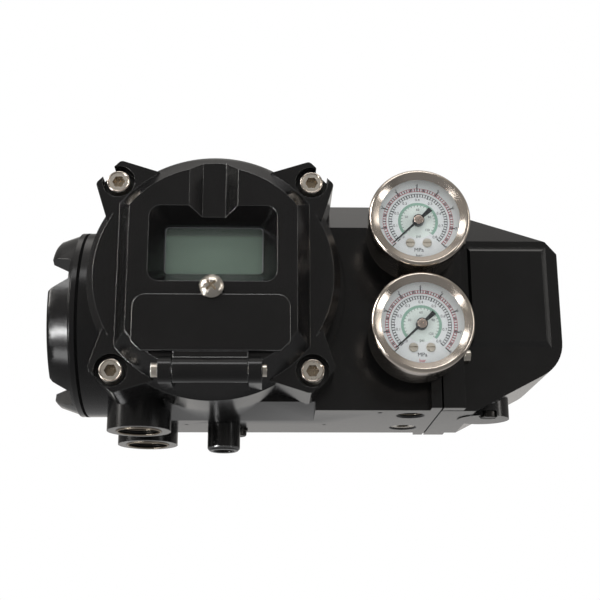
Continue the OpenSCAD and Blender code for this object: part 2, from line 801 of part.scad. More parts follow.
module pilot_cover() {
  color(black) difference() {
    union() {
      intersection() {
        front_prism(y_split, y_pad) pilot_outline();
        side_prism(pilot_x, pilot_end) pilot_profile();
      }
      raised_panel();
      for (y = flange_rows)
        block([pilot_x, y - flange_rise / 2 - eps, -body_drop],
              [pilot_x + pilot_flange_w, y + flange_rise / 2 + eps, body_rise - top_bevel + 3]);
      rod_z(-body_drop - 0.4, -body_drop + 14, boss_x, boss_y, boss_r);
    }
    intersection() {
      front_prism(y_split + pilot_wall, y_pad - pilot_wall) pilot_outline(pilot_wall);
      side_prism(pilot_x - past, pilot_end) pilot_profile(pilot_wall);
    }
    for (y = flange_rows, z = pilot_screw_z)
      rod_x(pilot_x - past, pilot_x + pilot_flange_w + past, y, z, pilot_screw_r + run);
    rod_z(-body_drop - past, 0, am_screw_x, am_screw_y, am_screw_r + run);
    rod_z(-body_drop - past, am_seat_z, am_screw_x, am_screw_y, am_head_r + 0.6);
  }
}
module raised_panel() {
  x0 = pilot_x + pilot_flange_w + 4.5;
  x1 = pilot_end - 5;
  y0 = y_split - panel_rise;
  low = -26.4;
  high = 20.8;
  intersection() {
    side_prism(x0, x1) polygon([
      [y_split + past, low], [y_split, low], [y0, low + panel_rise],
      [y0, high - panel_rise], [y_split, high], [y_split + past, high]
    ]);
    translate([0, 0, -body_drop]) linear_extrude(2 * body_drop) polygon([
      [x0, y_split + past], [x0, y_split], [x0 + 1, y0],
      [x1 - panel_rise, y0], [x1, y_split], [x1, y_split + past]
    ]);
  }
}
module pilot_cover_gasket() {
  color("dimgray") side_prism(seam_x, pilot_x) difference() {
    body_profile();
    body_profile(pilot_wall + 1);
  }
}
module pilot_cover_screws() {
  x = pilot_x + pilot_flange_w;
  color(steel) for (y = flange_rows, z = pilot_screw_z) {
    rod_x(x + eps, x + 0.8, y, z, pilot_screw_head_r);
    rod_x(x + 0.8 - eps, x + 3.2, y, z, pilot_screw_head_r - 0.2);
    rod_x(body_flange_x + 2, x + 2 * eps, y, z, pilot_screw_r);
  }
}
valve_w = 22;
valve_d = 24;
valve_h = 46;
valve_x = pilot_x + valve_w / 2;
valve_y = y_split + 30;
valve_z = -5;
land_h = 6;
spool_h = valve_h - 4;
module pilot_valve_body() {
  color("lightgray") difference() {
    block(
      [seam_x, valve_y - valve_d / 2, valve_z - valve_h / 2],
      [pilot_x + valve_w, valve_y + valve_d / 2, valve_z + valve_h / 2]
    );
    rod_z(valve_z - valve_h, valve_z + valve_h, valve_x, valve_y, spool_r + run);
  }
}
module pilot_spool() {
  color(steel) translate([valve_x, valve_y, valve_z - spool_h / 2]) {
    rod_z(0, spool_h, 0, 0, spool_r - 1.5);
    for (k = [0:2]) rod_z(k * (spool_h - land_h) / 2, k * (spool_h - land_h) / 2 + land_h, 0, 0, spool_r);
  }
}
motor_x = pilot_x + valve_w;
motor_w = 18;
motor_d = 28;
motor_h = 32;
coil_d = 20;
coil_w = 10;
coil_h = 20;
module torque_motor() {
  color("gray") difference() {
    block(
      [motor_x, valve_y - motor_d / 2, valve_z - motor_h / 2],
      [motor_x + motor_w, valve_y + motor_d / 2, valve_z + motor_h / 2]
    );
    motor_window(motor_d + 2 * past);
  }
}
module motor_window(depth) {
  mid = motor_x + motor_w / 2;
  block(
    [mid - coil_w / 2, valve_y - depth / 2, valve_z - coil_h / 2],
    [mid + coil_w / 2, valve_y + depth / 2, valve_z + coil_h / 2]
  );
}
module torque_motor_coil() {
  color("peru") difference() {
    motor_window(coil_d);
    rod_y(valve_y - coil_d, valve_y + coil_d, motor_x + motor_w / 2, valve_z, coil_w / 4);
  }
}
module auto_manual_screw() {
  z = am_seat_z - gap;
  color(steel) difference() {
    union() {
      rod_z(z - 2.8, z, am_screw_x, am_screw_y, am_head_r);
      rod_z(z - eps, z + 12, am_screw_x, am_screw_y, am_screw_r);
    }
    block([am_screw_x - 5, am_screw_y - 0.6, z - 4], [am_screw_x + 5, am_screw_y + 0.6, z - 1.4]);
  }
}

// Feedback shaft, gears and potentiometer
module feedback_shaft() {
  tongue = 8;
  color(steel) difference() {
    union() {
      rod_y(y_gear - 4, gap + 2, 0, 0, shaft_r);
      rod_y(gap, gap + 2, 0, 0, shaft_r + 2);
      rod_y(gap + 1, shaft_reach - tongue, 0, 0, shaft_end_r);
      rod_y(shaft_reach - tongue - eps, shaft_reach, 0, 0, shaft_end_r - 0.4);
    }
    for (side = [-1, 1])
      block([side > 0 ? 2 : -10, shaft_reach - tongue, -10], [side > 0 ? 10 : -2, shaft_reach + past, 10]);
  }
}
module shaft_bush() {
  color("goldenrod") difference() {
    rod_y(y_floor, 0, 0, 0, bush_r);
    rod_y(y_floor - past, past, 0, 0, shaft_r + run);
  }
}
module shaft_clip() {
  color(steel) difference() {
    rod_y(y_floor - gap - 1.2, y_floor - gap, 0, 0, shaft_r + 2.4);
    rod_y(y_floor - 4, y_floor, 0, 0, shaft_r + eps);
  }
}
module shaft_gear() {
  color("goldenrod") difference() {
    union() {
      front_prism(y_gear, y_gear + gear_t) gear_outline(shaft_teeth, gear_m);
      rod_y(y_gear, y_floor - gap - 1.2 - 0.1, 0, 0, shaft_r + 3);
    }
    rod_y(y_gear - past, y_floor + past, 0, 0, shaft_r + eps);
  }
}
module potentiometer_gear() {
  color("ivory") {
    front_prism(y_gear, y_gear + gear_t)
      translate([gear_gap, 0]) rotate(180 / pot_teeth) gear_outline(pot_teeth, gear_m);
    rod_y(y_bracket - pot_len / 2 + 0.5, y_gear + gear_t + 2, gear_gap, 0, pot_shaft_r);
  }
}
module potentiometer() {
  color("steelblue") difference() {
    union() {
      rod_y(y_bracket - pot_len, y_bracket, gear_gap, 0, pot_r);
      rod_y(y_bracket - eps, y_bracket + bracket_t, gear_gap, 0, 3.5);
    }
    rod_y(y_bracket - pot_len / 2 - 0.5, y_bracket + bracket_t + past, gear_gap, 0, pot_shaft_r + run);
  }
}
module potentiometer_bracket() {
  color(steel) difference() {
    union() {
      front_prism(y_bracket, y_bracket + bracket_t)
        translate([bracket_post_x - 4, 0]) square([15, 2 * bracket_post_z + 6], center = true);
      for (sz = [-1, 1])
        rod_y(y_bracket + bracket_t - eps, y_floor, bracket_post_x, sz * bracket_post_z, bracket_post_r);
    }
    rod_y(y_bracket - past, y_bracket + bracket_t + past, gear_gap, 0, 3.5 + run);
  }
}

// Pressure gauges
gauge_z = [gauge_upper_z, gauge_upper_z - gauge_pitch];
module at_gauge(i) translate([gauge_x, y_bezel, gauge_z[i]]) children();
module gauge_case() {
  color(steel) turned_y() polygon([
    [case_r - case_t, lens_y + lens_t], [case_r, lens_y + lens_t], [case_r, case_depth - 1.5],
    [case_r - 1.5, case_depth], [neck_r, case_depth], [neck_r, case_depth - case_t],
    [case_r - case_t - 1, case_depth - case_t], [case_r - case_t, case_depth - case_t - 1]
  ]);
}
module gauge_bezel() {
  color(steel) turned_y() polygon([
    [dial_view_r, lens_y], [dial_view_r, 0.7], [dial_view_r + 0.9, 0.15],
    [bezel_r - 1.6, 0], [bezel_r - 0.5, 0.3],
    [bezel_r, 1.2], [bezel_r, 6], [case_r + run, 6], [case_r + run, lens_y]
  ]);
}
module gauge_lens() {
  color([0.9, 0.95, 1, 0.3]) rod_y(lens_y, lens_y + lens_t, 0, 0, case_r - run);
}
module gauge_dial() {
  color("white") difference() {
    rod_y(dial_y, dial_y + dial_t, 0, 0, case_r - case_t - 0.1);
    rod_y(dial_y - past, dial_y + past, 0, 0, arbor_r + gap);
    for (sx = [-1, 1])
      rod_y(dial_y - past, dial_y + past, sx * dial_screw_x, dial_screw_z, dial_screw_r + run);
  }
}
module dial_screws() {
  color(steel) for (i = [0, 1], sx = [-1, 1]) at_gauge(i) difference() {
    union() {
      rod_y(dial_y - 0.7, dial_y, sx * dial_screw_x, dial_screw_z, 1.9);
      rod_y(dial_y - eps, plate_y - 0.5, sx * dial_screw_x, dial_screw_z, dial_screw_r);
    }
    translate([sx * dial_screw_x, dial_y - 1, dial_screw_z]) block([-3, 0, -0.25], [3, 0.6, 0.25]);
  }
}
module gauge_socket() {
  foot_y = tube_y + tube_w + 0.1;
  back = case_depth - case_t;
  color("goldenrod") difference() {
    union() {
      front_prism(plate_y, plate_y + plate_t) polygon([
        [-9, 9], [9, 9], [6, sector_z - 2.5], [-6, sector_z - 2.5]
      ]);
      for (sx = [-1, 1]) {
        rod_y(plate_y + plate_t - eps, foot_y + eps, sx * 7, 6, 1.5);
        rod_y(dial_y + dial_t, plate_y + eps, sx * dial_screw_x, dial_screw_z, post_r);
      }
      front_prism(foot_y, back) translate([0, -3.75]) square([17, 24.5], center = true);
      front_prism(back - eps, gauge_reach) square(2 * socket_half, center = true);
      rod_y(gauge_reach - eps, gauge_reach + stem_len, 0, 0, stem_r);
    }
    rod_y(plate_y - past, plate_y + plate_t + past, 0, 0, arbor_r + run);
    rod_y(plate_y - past, plate_y + plate_t + past, 0, sector_z, arbor_r + run);
    for (sx = [-1, 1]) rod_y(dial_y, plate_y, sx * dial_screw_x, dial_screw_z, dial_screw_r + run);
    rod_y(gauge_reach, gauge_reach + stem_len + past, 0, 0, 2);
  }
}
module gauge_tube() {
  tube_r = case_r - case_t - 4;
  color("goldenrod") rotate([-90, 90, 0]) rotate_extrude(angle = 280)
    translate([tube_r, tube_y]) square([1.6, tube_w]);
}
module gauge_pointer() {
  color([0.1, 0.1, 0.1]) {
    front_prism(pointer_y, pointer_y + 0.4) rotate(zero_angle)
      polygon([[-7.1, -1], [-2, -0.55], [15, -0.14], [15, 0.14], [-2, 0.55], [-7.1, 1]]);
    rod_y(pointer_y - 0.4, dial_y - gap, 0, 0, 2.3);
  }
}
module gauge_pinion() {
  color("goldenrod") {
    rod_y(dial_y - gap, movement_y + movement_t + 0.5, 0, 0, arbor_r);
    front_prism(movement_y, movement_y + movement_t)
      rotate(180 / pinion_teeth) gear_outline(pinion_teeth, gauge_m);
  }
}
module gauge_sector() {
  reach = 2 * gauge_m * sector_teeth;
  middle = 90 - sector_turn / 2;
  half = sector_turn / 2 + 9;
  color("goldenrod") translate([0, 0, sector_z]) {
    front_prism(movement_y, movement_y + movement_t) {
      intersection() {
        gear_outline(sector_teeth, gauge_m);
        polygon([[0, 0], polar(reach, middle - half), polar(reach, middle), polar(reach, middle + half)]);
      }
      circle(2.2);
    }
    rod_y(plate_y, movement_y + eps, 0, 0, arbor_r);
  }
}
module upper_gauge_case() at_gauge(0) gauge_case();
module lower_gauge_case() at_gauge(1) gauge_case();
module upper_gauge_bezel() at_gauge(0) gauge_bezel();
module lower_gauge_bezel() at_gauge(1) gauge_bezel();
module upper_gauge_lens() at_gauge(0) gauge_lens();
module lower_gauge_lens() at_gauge(1) gauge_lens();
module upper_gauge_dial() at_gauge(0) gauge_dial();
module lower_gauge_dial() at_gauge(1) gauge_dial();
module upper_gauge_socket() at_gauge(0) gauge_socket();
module lower_gauge_socket() at_gauge(1) gauge_socket();
module upper_gauge_tube() at_gauge(0) gauge_tube();
module lower_gauge_tube() at_gauge(1) gauge_tube();
module upper_pointer() at_gauge(0) gauge_pointer();
module lower_pointer() at_gauge(1) gauge_pointer();
module upper_pinion() at_gauge(0) gauge_pinion();
module lower_pinion() at_gauge(1) gauge_pinion();
module upper_sector() at_gauge(0) gauge_sector();
module lower_sector() at_gauge(1) gauge_sector();

housing();
manifold_block();
main_cover();
main_cover_seal();
cover_screws();
display_window();
display_module();
main_board();
board_spacers();
board_screws();
key_switches();
hinge_pin();
hinge_pin_clip();
terminal_block();
terminal_screws();
earth_screw();
exhaust_vent();
pilot_cover();
pilot_cover_gasket();
pilot_cover_screws();
pilot_valve_body();
torque_motor();
torque_motor_coil();
shaft_bush();
potentiometer();
potentiometer_bracket();
port_plug();
dial_screws();
upper_gauge_case();
upper_gauge_bezel();
upper_gauge_lens();
upper_gauge_dial();
upper_gauge_socket();
upper_gauge_tube();
lower_gauge_case();
lower_gauge_bezel();
lower_gauge_lens();
lower_gauge_dial();
lower_gauge_socket();
lower_gauge_tube();
button_cover();
button_cover_screw();
button_1();
button_2();
button_3();
button_4();
terminal_cap();
terminal_cap_seal();
feedback_shaft();
shaft_gear();
shaft_clip();
potentiometer_gear();
upper_pointer();
lower_pointer();
upper_pinion();
lower_pinion();
upper_sector();
lower_sector();
pilot_spool();
auto_manual_screw();
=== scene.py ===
# %% [markdown]
# A valve positioner sits on a pneumatic valve and moves it to the place a control
# signal asks for. The CAD part is loaded as a fixed frame. This lesson dresses it:
# camera, light, paint, bevelled castings, steel and two printed gauge dials.

import json
import math

import bmesh
import bpy
from mathutils import Matrix, Vector


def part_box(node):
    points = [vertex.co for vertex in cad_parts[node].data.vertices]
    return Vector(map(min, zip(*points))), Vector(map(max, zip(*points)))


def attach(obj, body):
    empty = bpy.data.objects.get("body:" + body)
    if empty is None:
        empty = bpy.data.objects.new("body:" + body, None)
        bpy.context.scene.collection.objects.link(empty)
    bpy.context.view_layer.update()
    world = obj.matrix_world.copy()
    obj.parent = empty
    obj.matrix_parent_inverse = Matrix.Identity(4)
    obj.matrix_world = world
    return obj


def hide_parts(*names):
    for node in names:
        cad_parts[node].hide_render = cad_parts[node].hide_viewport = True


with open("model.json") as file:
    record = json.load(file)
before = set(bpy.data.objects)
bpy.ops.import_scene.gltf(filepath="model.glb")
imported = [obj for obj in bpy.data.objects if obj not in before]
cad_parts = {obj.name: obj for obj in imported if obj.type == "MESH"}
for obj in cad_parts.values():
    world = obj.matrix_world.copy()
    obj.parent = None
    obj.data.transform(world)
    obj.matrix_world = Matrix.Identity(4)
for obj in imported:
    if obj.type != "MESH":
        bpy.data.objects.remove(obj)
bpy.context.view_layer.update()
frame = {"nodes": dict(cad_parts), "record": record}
nodes = frame["nodes"]
scene = bpy.context.scene

# %% [markdown]
# The photograph was taken from in front and below, so the undersides show. A camera
# fitted to the cover screws and the gauges gives this place, tilt and lens.

# %% Camera at the photograph's view
CAMERA_AT = (0.02512, -0.56868, -0.14667)
TILT_UP, TURN_RIGHT, ROLL = 16.07, 1.48, -0.18
LENS_MM, SENSOR_MM = 68.3, 36
lens = bpy.data.cameras.new("photo_view")
lens.lens = LENS_MM
lens.sensor_width = SENSOR_MM
lens.clip_start = 0.01
camera = bpy.data.objects.new("photo_view", lens)
scene.collection.objects.link(camera)
camera.matrix_world = (
    Matrix.Translation(CAMERA_AT)
    @ Matrix.Rotation(math.radians(-TURN_RIGHT), 4, "Z")
    @ Matrix.Rotation(math.radians(90 + TILT_UP), 4, "X")
    @ Matrix.Rotation(math.radians(ROLL), 4, "Z")
)
scene.camera = camera
print("camera", tuple(round(v, 3) for v in camera.location))

# %% [markdown]
# Light and finishes are node trees. A few helpers keep them short: one adds a node,
# one fades between two values, one does a sum, one measures a distance, and one stacks
# shaders, each chosen over the last by a share between 0 and 1.


# %% Helpers for node trees
def add_node(tree, kind, **settings):
    made = tree.nodes.new(kind)
    for key, value in settings.items():
        setattr(made, key, value)
    return made


def fade(tree, value, start, end, low, high):
    made = add_node(tree, "ShaderNodeMapRange", interpolation_type="SMOOTHSTEP")
    limits = {"From Min": start, "From Max": end, "To Min": low, "To Max": high}
    for label, number in limits.items():
        made.inputs[label].default_value = number
    tree.links.new(value, made.inputs["Value"])
    return made.outputs["Result"]


def maths(tree, kind, a, b=None):
    made = add_node(tree, "ShaderNodeMath", operation=kind)
    for slot, value in enumerate((a, b)):
        if isinstance(value, (int, float)):
            made.inputs[slot].default_value = value
        elif value is not None:
            tree.links.new(value, made.inputs[slot])
    return made.outputs[0]


def distance(tree, place, point):
    made = add_node(tree, "ShaderNodeVectorMath", operation="DISTANCE")
    made.inputs[1].default_value = point
    tree.links.new(place, made.inputs[0])
    return made.outputs["Value"]


def stacked(tree, lowest, choices):
    last = lowest
    for share, shader in choices:
        mix = add_node(tree, "ShaderNodeMixShader")
        tree.links.new(share, mix.inputs["Fac"])
        tree.links.new(last, mix.inputs[1])
        tree.links.new(shader, mix.inputs[2])
        last = mix.outputs["Shader"]
    return last


def split_axes(tree, place):
    axes = add_node(tree, "ShaderNodeSeparateXYZ")
    tree.links.new(place, axes.inputs["Vector"])
    return axes.outputs


# %% [markdown]
# A product photo has a pure white background, yet black paint only looks black when it
# mirrors something dark. So the world is white to the camera, a cool white to diffuse
# light, and to glossy rays a studio: dark where the camera stands, a pale wall behind,
# a pale ceiling and a light strip at either side. The strips draw the lines of light
# along the painted edges. Pairs give the left and the right strip.

# %% The studio that gloss mirrors
WALL_TURN = (math.radians(145), math.radians(165))
WALL_TOP = (0.35, 0.6)
CEILING_LOW, CEILING_TONE = (0.8, 0.93), 0.9
CEILING_FRONT, CEILING_SHARE = (-0.05, 0.15), (0.3, 1)
STRIP_TURN = math.radians(71)
STRIP_EDGE = (math.radians(3), math.radians(7))
STRIP_POWER = (16, 4)
STRIP_HEIGHT = (0.42, 0.25)
STRIP_REACH = (0.14, 0.26)
SIDES = (-0.1, 0.1)


def studio_tone(tree, front, back):
    facing = add_node(tree, "ShaderNodeTexCoord")
    x, y, z = split_axes(tree, facing.outputs["Generated"])
    turn = maths(tree, "ARCTAN2", x, maths(tree, "MULTIPLY", y, -1.0))
    turn = maths(tree, "ABSOLUTE", turn)
    off_turn = maths(tree, "ABSOLUTE", maths(tree, "SUBTRACT", turn, STRIP_TURN))
    height = fade(tree, x, *SIDES, *STRIP_HEIGHT)
    off_height = maths(tree, "ABSOLUTE", maths(tree, "SUBTRACT", z, height))
    power = fade(tree, x, *SIDES, *STRIP_POWER)
    parts = (
        (fade(tree, turn, *WALL_TURN, 0, back), fade(tree, z, *WALL_TOP, 1, 0)),
        (fade(tree, z, *CEILING_LOW, 0, CEILING_TONE),
         fade(tree, y, *CEILING_FRONT, *CEILING_SHARE)),
        (fade(tree, off_turn, *STRIP_EDGE, 1, 0),
         maths(tree, "MULTIPLY", power, fade(tree, off_height, *STRIP_REACH, 1, 0))),
    )
    total = front
    for amount, limit in parts:
        total = maths(tree, "ADD", maths(tree, "MULTIPLY", amount, limit), total)
    return total


COOL, WARM, WHITE = (0.97, 0.985, 1, 1), (1, 0.97, 0.93, 1), (1, 1, 1, 1)
DIFFUSE_LIGHT, FRONT_TONE, BACK_TONE = 1.0, 0.23, 0.55


def backdrop(tree, color):
    tone = add_node(tree, "ShaderNodeBackground")
    tone.inputs["Color"].default_value = color
    return tone


def make_world():
    world = bpy.data.worlds.new("white_studio")
    world.use_nodes = True
    tree = world.node_tree
    tree.nodes.clear()
    soft, studio, white = (backdrop(tree, color) for color in (COOL, WARM, WHITE))
    soft.inputs["Strength"].default_value = DIFFUSE_LIGHT
    tree.links.new(studio_tone(tree, FRONT_TONE, BACK_TONE), studio.inputs["Strength"])
    rays = add_node(tree, "ShaderNodeLightPath").outputs
    last = stacked(tree, soft.outputs["Background"], (
        (rays["Is Glossy Ray"], studio.outputs["Background"]),
        (rays["Is Transmission Ray"], white.outputs["Background"]),
        (rays["Is Camera Ray"], white.outputs["Background"]),
    ))
    tree.links.new(last, add_node(tree, "ShaderNodeOutputWorld").inputs["Surface"])
    return world


scene.world = make_world()
scene.view_settings.view_transform = "Standard"
print("world", scene.world.name, "nodes", len(scene.world.node_tree.nodes))

# %% [markdown]
# The floor is a pale sheet well below the part. The camera looks up through it, so its
# underside is clear. Gloss sees it glow a little, more towards the back, with two light
# cards lying at the left that put the streaks of light on the terminal cap. Far from
# the part the floor fades to white, so no edge of it shows from any side.

# %% The floor and its light cards
FLOOR_LEVEL, FLOOR_HALF = -0.36, 1.6
FLOOR_COLOR, FLOOR_ROUGH = (0.86, 0.86, 0.85, 1), 0.8
GLOW_DEPTH, GLOW_TONE = (-0.25, 0.3), (0.2, 0.47)
GLOW_WIDTH, GLOW_SHARE = (0.3, 0.9), (1, 0.4)
WHITE_BEYOND = (0.45, 1.4)
# Each card has X, Y, the radius where it starts to fade, the radius where it ends, strength
CARDS = ((-1.06, -0.88, 0.30, 0.44, 26), (-0.47, -0.26, 0.05, 0.11, 5))


def put_in_scene(name, mesh):
    piece = bpy.data.objects.new(name, mesh)
    scene.collection.objects.link(piece)
    return piece


def shader_of(material):
    return material.node_tree.nodes["Principled BSDF"]


def new_material(name):
    material = bpy.data.materials.new(name)
    material.use_nodes = True
    return material


def floor_material(level):
    material = new_material("pale_floor")
    tree = material.node_tree
    matt = shader_of(material)
    matt.inputs["Base Color"].default_value = FLOOR_COLOR
    matt.inputs["Roughness"].default_value = FLOOR_ROUGH
    here = add_node(tree, "ShaderNodeNewGeometry").outputs
    x, y, _ = split_axes(tree, here["Position"])
    behind = fade(tree, y, *GLOW_DEPTH, *GLOW_TONE)
    middle = fade(tree, maths(tree, "ABSOLUTE", x), *GLOW_WIDTH, *GLOW_SHARE)
    shine = maths(tree, "MULTIPLY", behind, middle)
    for card_x, card_y, near, far, strength in CARDS:
        away = distance(tree, here["Position"], (card_x, card_y, level))
        shine = maths(tree, "ADD", shine, fade(tree, away, near, far, strength, 0))
    glow, white = (add_node(tree, "ShaderNodeEmission") for _ in range(2))
    tree.links.new(shine, glow.inputs["Strength"])
    clear = add_node(tree, "ShaderNodeBsdfTransparent")
    rays = add_node(tree, "ShaderNodeLightPath").outputs
    remote = fade(tree, distance(tree, here["Position"], (0, 0, 0)), *WHITE_BEYOND, 0, 1)
    last = stacked(tree, matt.outputs["BSDF"], (
        (rays["Is Glossy Ray"], glow.outputs["Emission"]),
        (maths(tree, "MULTIPLY", rays["Is Camera Ray"], remote), white.outputs["Emission"]),
        (here["Backfacing"], clear.outputs["BSDF"]),
    ))
    tree.links.new(last, tree.nodes["Material Output"].inputs["Surface"])
    return material


def make_floor(level, half):
    mesh = bpy.data.meshes.new("floor")
    rim = [(x * half, y * half, level) for x, y in ((-1, -1), (1, -1), (1, 1), (-1, 1))]
    mesh.from_pydata(rim, [], [(0, 1, 2, 3)])
    mesh.materials.append(floor_material(level))
    floor = put_in_scene("floor", mesh)
    return floor


print(make_floor(FLOOR_LEVEL, FLOOR_HALF).name, "at", FLOOR_LEVEL)

# %% [markdown]
# Three soft lamps do the rest. The key hangs high in front, a panel at the left gives
# the white patch on the bezels, and a small panel at the right lifts their far side.


# %% Lamps
def area_lamp(name, at, aim, size, power):
    light = bpy.data.lights.new(name, "AREA")
    light.shape = "RECTANGLE"
    light.size, light.size_y = size
    light.energy = power
    lamp = bpy.data.objects.new(name, light)
    lamp.location = at
    lamp.rotation_euler = (Vector(aim) - Vector(at)).to_track_quat("-Z", "Y").to_euler()
    scene.collection.objects.link(lamp)
    return lamp


MIDDLE = (0.04, -0.06, -0.01)
area_lamp("top_key", (0.06, -0.72, 0.80), MIDDLE, (0.60, 0.24), 1.6)
area_lamp("left_panel", (-0.67, -0.61, 0.60), MIDDLE, (0.30, 0.26), 1.5)
area_lamp("right_panel", (0.72, -0.54, -0.10), MIDDLE, (0.14, 0.20), 0.40)

# %% [markdown]
# Every finish is a node material on Object coordinates, so it needs no picture. A fine
# noise varies the gloss and gives the bump, and a coarse one varies the colour. The
# paint is a satin black powder coat: its orange peel comes from that bump.

# %% Material helpers
BUMP_DEEP = 0.0004
CLOUD_SHARE = 1 / 12
CLOUD_LOW, CLOUD_HIGH = 0.3, 0.7
LEAST_ROUGH = 0.02


def set_base(material, color, metal, rough):
    shader = shader_of(material)
    shader.inputs["Base Color"].default_value = (*color, 1)
    shader.inputs["Metallic"].default_value = metal
    shader.inputs["Roughness"].default_value = rough
    return shader


def textured(name, color, metal=0.0, rough=0.4, grain=800.0, bump=0.05, vary=0.08,
             tint=0.15, stretch=(1, 1, 1)):
    material = new_material(name)
    tree = material.node_tree
    link = tree.links.new
    shader = set_base(material, color, metal, rough)
    place = add_node(tree, "ShaderNodeTexCoord")
    mapping = add_node(tree, "ShaderNodeMapping")
    mapping.inputs["Scale"].default_value = stretch
    link(place.outputs["Object"], mapping.inputs["Vector"])
    noise = add_node(tree, "ShaderNodeTexNoise")
    noise.inputs["Scale"].default_value = grain
    noise.inputs["Detail"].default_value = 4
    link(mapping.outputs["Vector"], noise.inputs["Vector"])
    spread = add_node(tree, "ShaderNodeMapRange")
    spread.inputs["To Min"].default_value = max(LEAST_ROUGH, rough - vary)
    spread.inputs["To Max"].default_value = rough + vary
    link(noise.outputs["Fac"], spread.inputs["Value"])
    link(spread.outputs["Result"], shader.inputs["Roughness"])
    cloud = add_node(tree, "ShaderNodeTexNoise")
    cloud.inputs["Scale"].default_value = grain * CLOUD_SHARE
    link(mapping.outputs["Vector"], cloud.inputs["Vector"])
    ramp = add_node(tree, "ShaderNodeValToRGB")
    dark, light = ramp.color_ramp.elements
    dark.position, light.position = CLOUD_LOW, CLOUD_HIGH
    dark.color = (*[c * (1 - tint) for c in color], 1)
    light.color = (*[min(1, c * (1 + tint)) for c in color], 1)
    link(cloud.outputs["Fac"], ramp.inputs["Fac"])
    link(ramp.outputs["Color"], shader.inputs["Base Color"])
    rise = add_node(tree, "ShaderNodeBump")
    rise.inputs["Strength"].default_value = bump
    rise.inputs["Distance"].default_value = BUMP_DEEP
    link(noise.outputs["Fac"], rise.inputs["Height"])
    link(rise.outputs["Normal"], shader.inputs["Normal"])
    return material


def clear_glass(name, color, alpha, rough):
    material = new_material(name)
    shader = set_base(material, color, 0, rough)
    shader.inputs["Alpha"].default_value = alpha
    shader.inputs["Specular IOR Level"].default_value = 0.8
    return material


# %% [markdown]
# Paint and plastic come first. The bevelled edges get a finish of their own, lighter than
# the paint and with a higher index of refraction: a painted highlight for the lines of
# light along the edges. The lip at the cap's seam is painted near black and hardly shines
# at all: painted shadow, because almost no light reaches the joint.

# %% Paint, plastic and rubber
PAINT = textured("satin_black_paint", (0.0052, 0.0050, 0.0050), rough=0.2, grain=900,
                 bump=0.012, vary=0.03)
# Edge finish: a lighter colour and a higher index of refraction, a painted highlight on bevel
# faces.
EDGE_HIGHLIGHT = textured("painted_edge_highlight", (0.03, 0.03, 0.03), rough=0.24, grain=900, bump=0.0,
                vary=0.03)
shader_of(EDGE_HIGHLIGHT).inputs["IOR"].default_value = 2.6
PLASTIC = textured("moulded_plastic", (0.014, 0.014, 0.015), rough=0.45, grain=1200, bump=0.06)
RUBBER = textured("rubber", (0.012, 0.012, 0.012), rough=0.7, grain=500, bump=0.08)
# Seal lip: near black with almost no gloss, a painted shadow in the cap's joint.
SEAL_LIP_SHADOW = textured("seal_lip_painted_shadow", (0.002, 0.002, 0.002), rough=0.8, grain=500, bump=0.05)
shader_of(SEAL_LIP_SHADOW).inputs["Specular IOR Level"].default_value = 0.05
# Window lip: a pale grey, a painted highlight along the window's edge.
WINDOW_LIP_HIGHLIGHT = textured("window_lip", (0.10, 0.105, 0.11), rough=0.3, grain=900, bump=0.02)
BOARD = textured("green_laminate", (0.02, 0.11, 0.04), rough=0.4, grain=400, bump=0.03)
print("paint and plastic", len(bpy.data.materials))

# %% [markdown]
# The metals differ in colour, gloss and evenness: a polished bezel, stainless cover
# screws whose bevelled rims get a paler painted highlight, plated dial screws with
# painted shade on their edges, oxide-black screws and cut threads.

# %% Metals
BEZEL = textured("polished_steel", (0.74, 0.66, 0.58), metal=1, rough=0.18, grain=300,
                 bump=0.01, vary=0.03, tint=0.03)
NICKEL = textured("nickel_screw", (0.68, 0.63, 0.56), metal=1, rough=0.25, grain=700,
                  bump=0.04, vary=0.06, tint=0.06)
STAINLESS = textured("stainless_screw", (0.74, 0.68, 0.60), metal=0.93, rough=0.3, grain=700,
                     bump=0.03, tint=0.1)
# Screw rim: a pale, half-metal copy of the stainless, a painted highlight on the bevelled rims of
# stainless screws and the hinge pin.
SCREW_RIM_HIGHLIGHT = textured("screw_rim_painted_highlight", (0.88, 0.84, 0.78), metal=0.35, rough=0.25, grain=700,
               bump=0.02, tint=0.1)
HUB_STEEL = textured("warm_hub_steel", (0.62, 0.50, 0.43), metal=0.9, rough=0.28, grain=700,
                     bump=0.03, tint=0.1)
ZINC = textured("plated_zinc", (0.72, 0.66, 0.56), metal=0.6, rough=0.3, grain=700,
                bump=0.05, tint=0.2)
OXIDE = textured("black_oxide_steel", (0.05, 0.048, 0.046), metal=1, rough=0.3, grain=700,
                 bump=0.05, tint=0.1)
# Socket shade: a darker warm copy of the screw metal, painted shade in screw drives and on the
# dial screws' edges.
SOCKET_SHADE = textured("socket_shade", (0.36, 0.29, 0.21), metal=0.75, rough=0.28, grain=700,
                  bump=0.05, tint=0.3)
THREAD = textured("cut_thread", (0.42, 0.36, 0.29), metal=1, rough=0.35, grain=900,
                  bump=0.06, tint=0.12)
BRASS = textured("turned_brass", (0.62, 0.44, 0.17), metal=1, rough=0.3, grain=600,
                 bump=0.03, tint=0.05)
COPPER = textured("enamelled_wire", (0.5, 0.2, 0.09), metal=1, rough=0.3, grain=900,
                  bump=0.2, stretch=(8, 0.4, 0.4))
ALUMINIUM = textured("machined_aluminium", (0.55, 0.55, 0.55), metal=1, rough=0.35, grain=500,
                     bump=0.03, tint=0.04)
print("with metals", len(bpy.data.materials))

# %% [markdown]
# The display lies behind its window, and the frame above throws a shade on its upper
# edge. The shade is a fade by height that multiplies the display's colour.


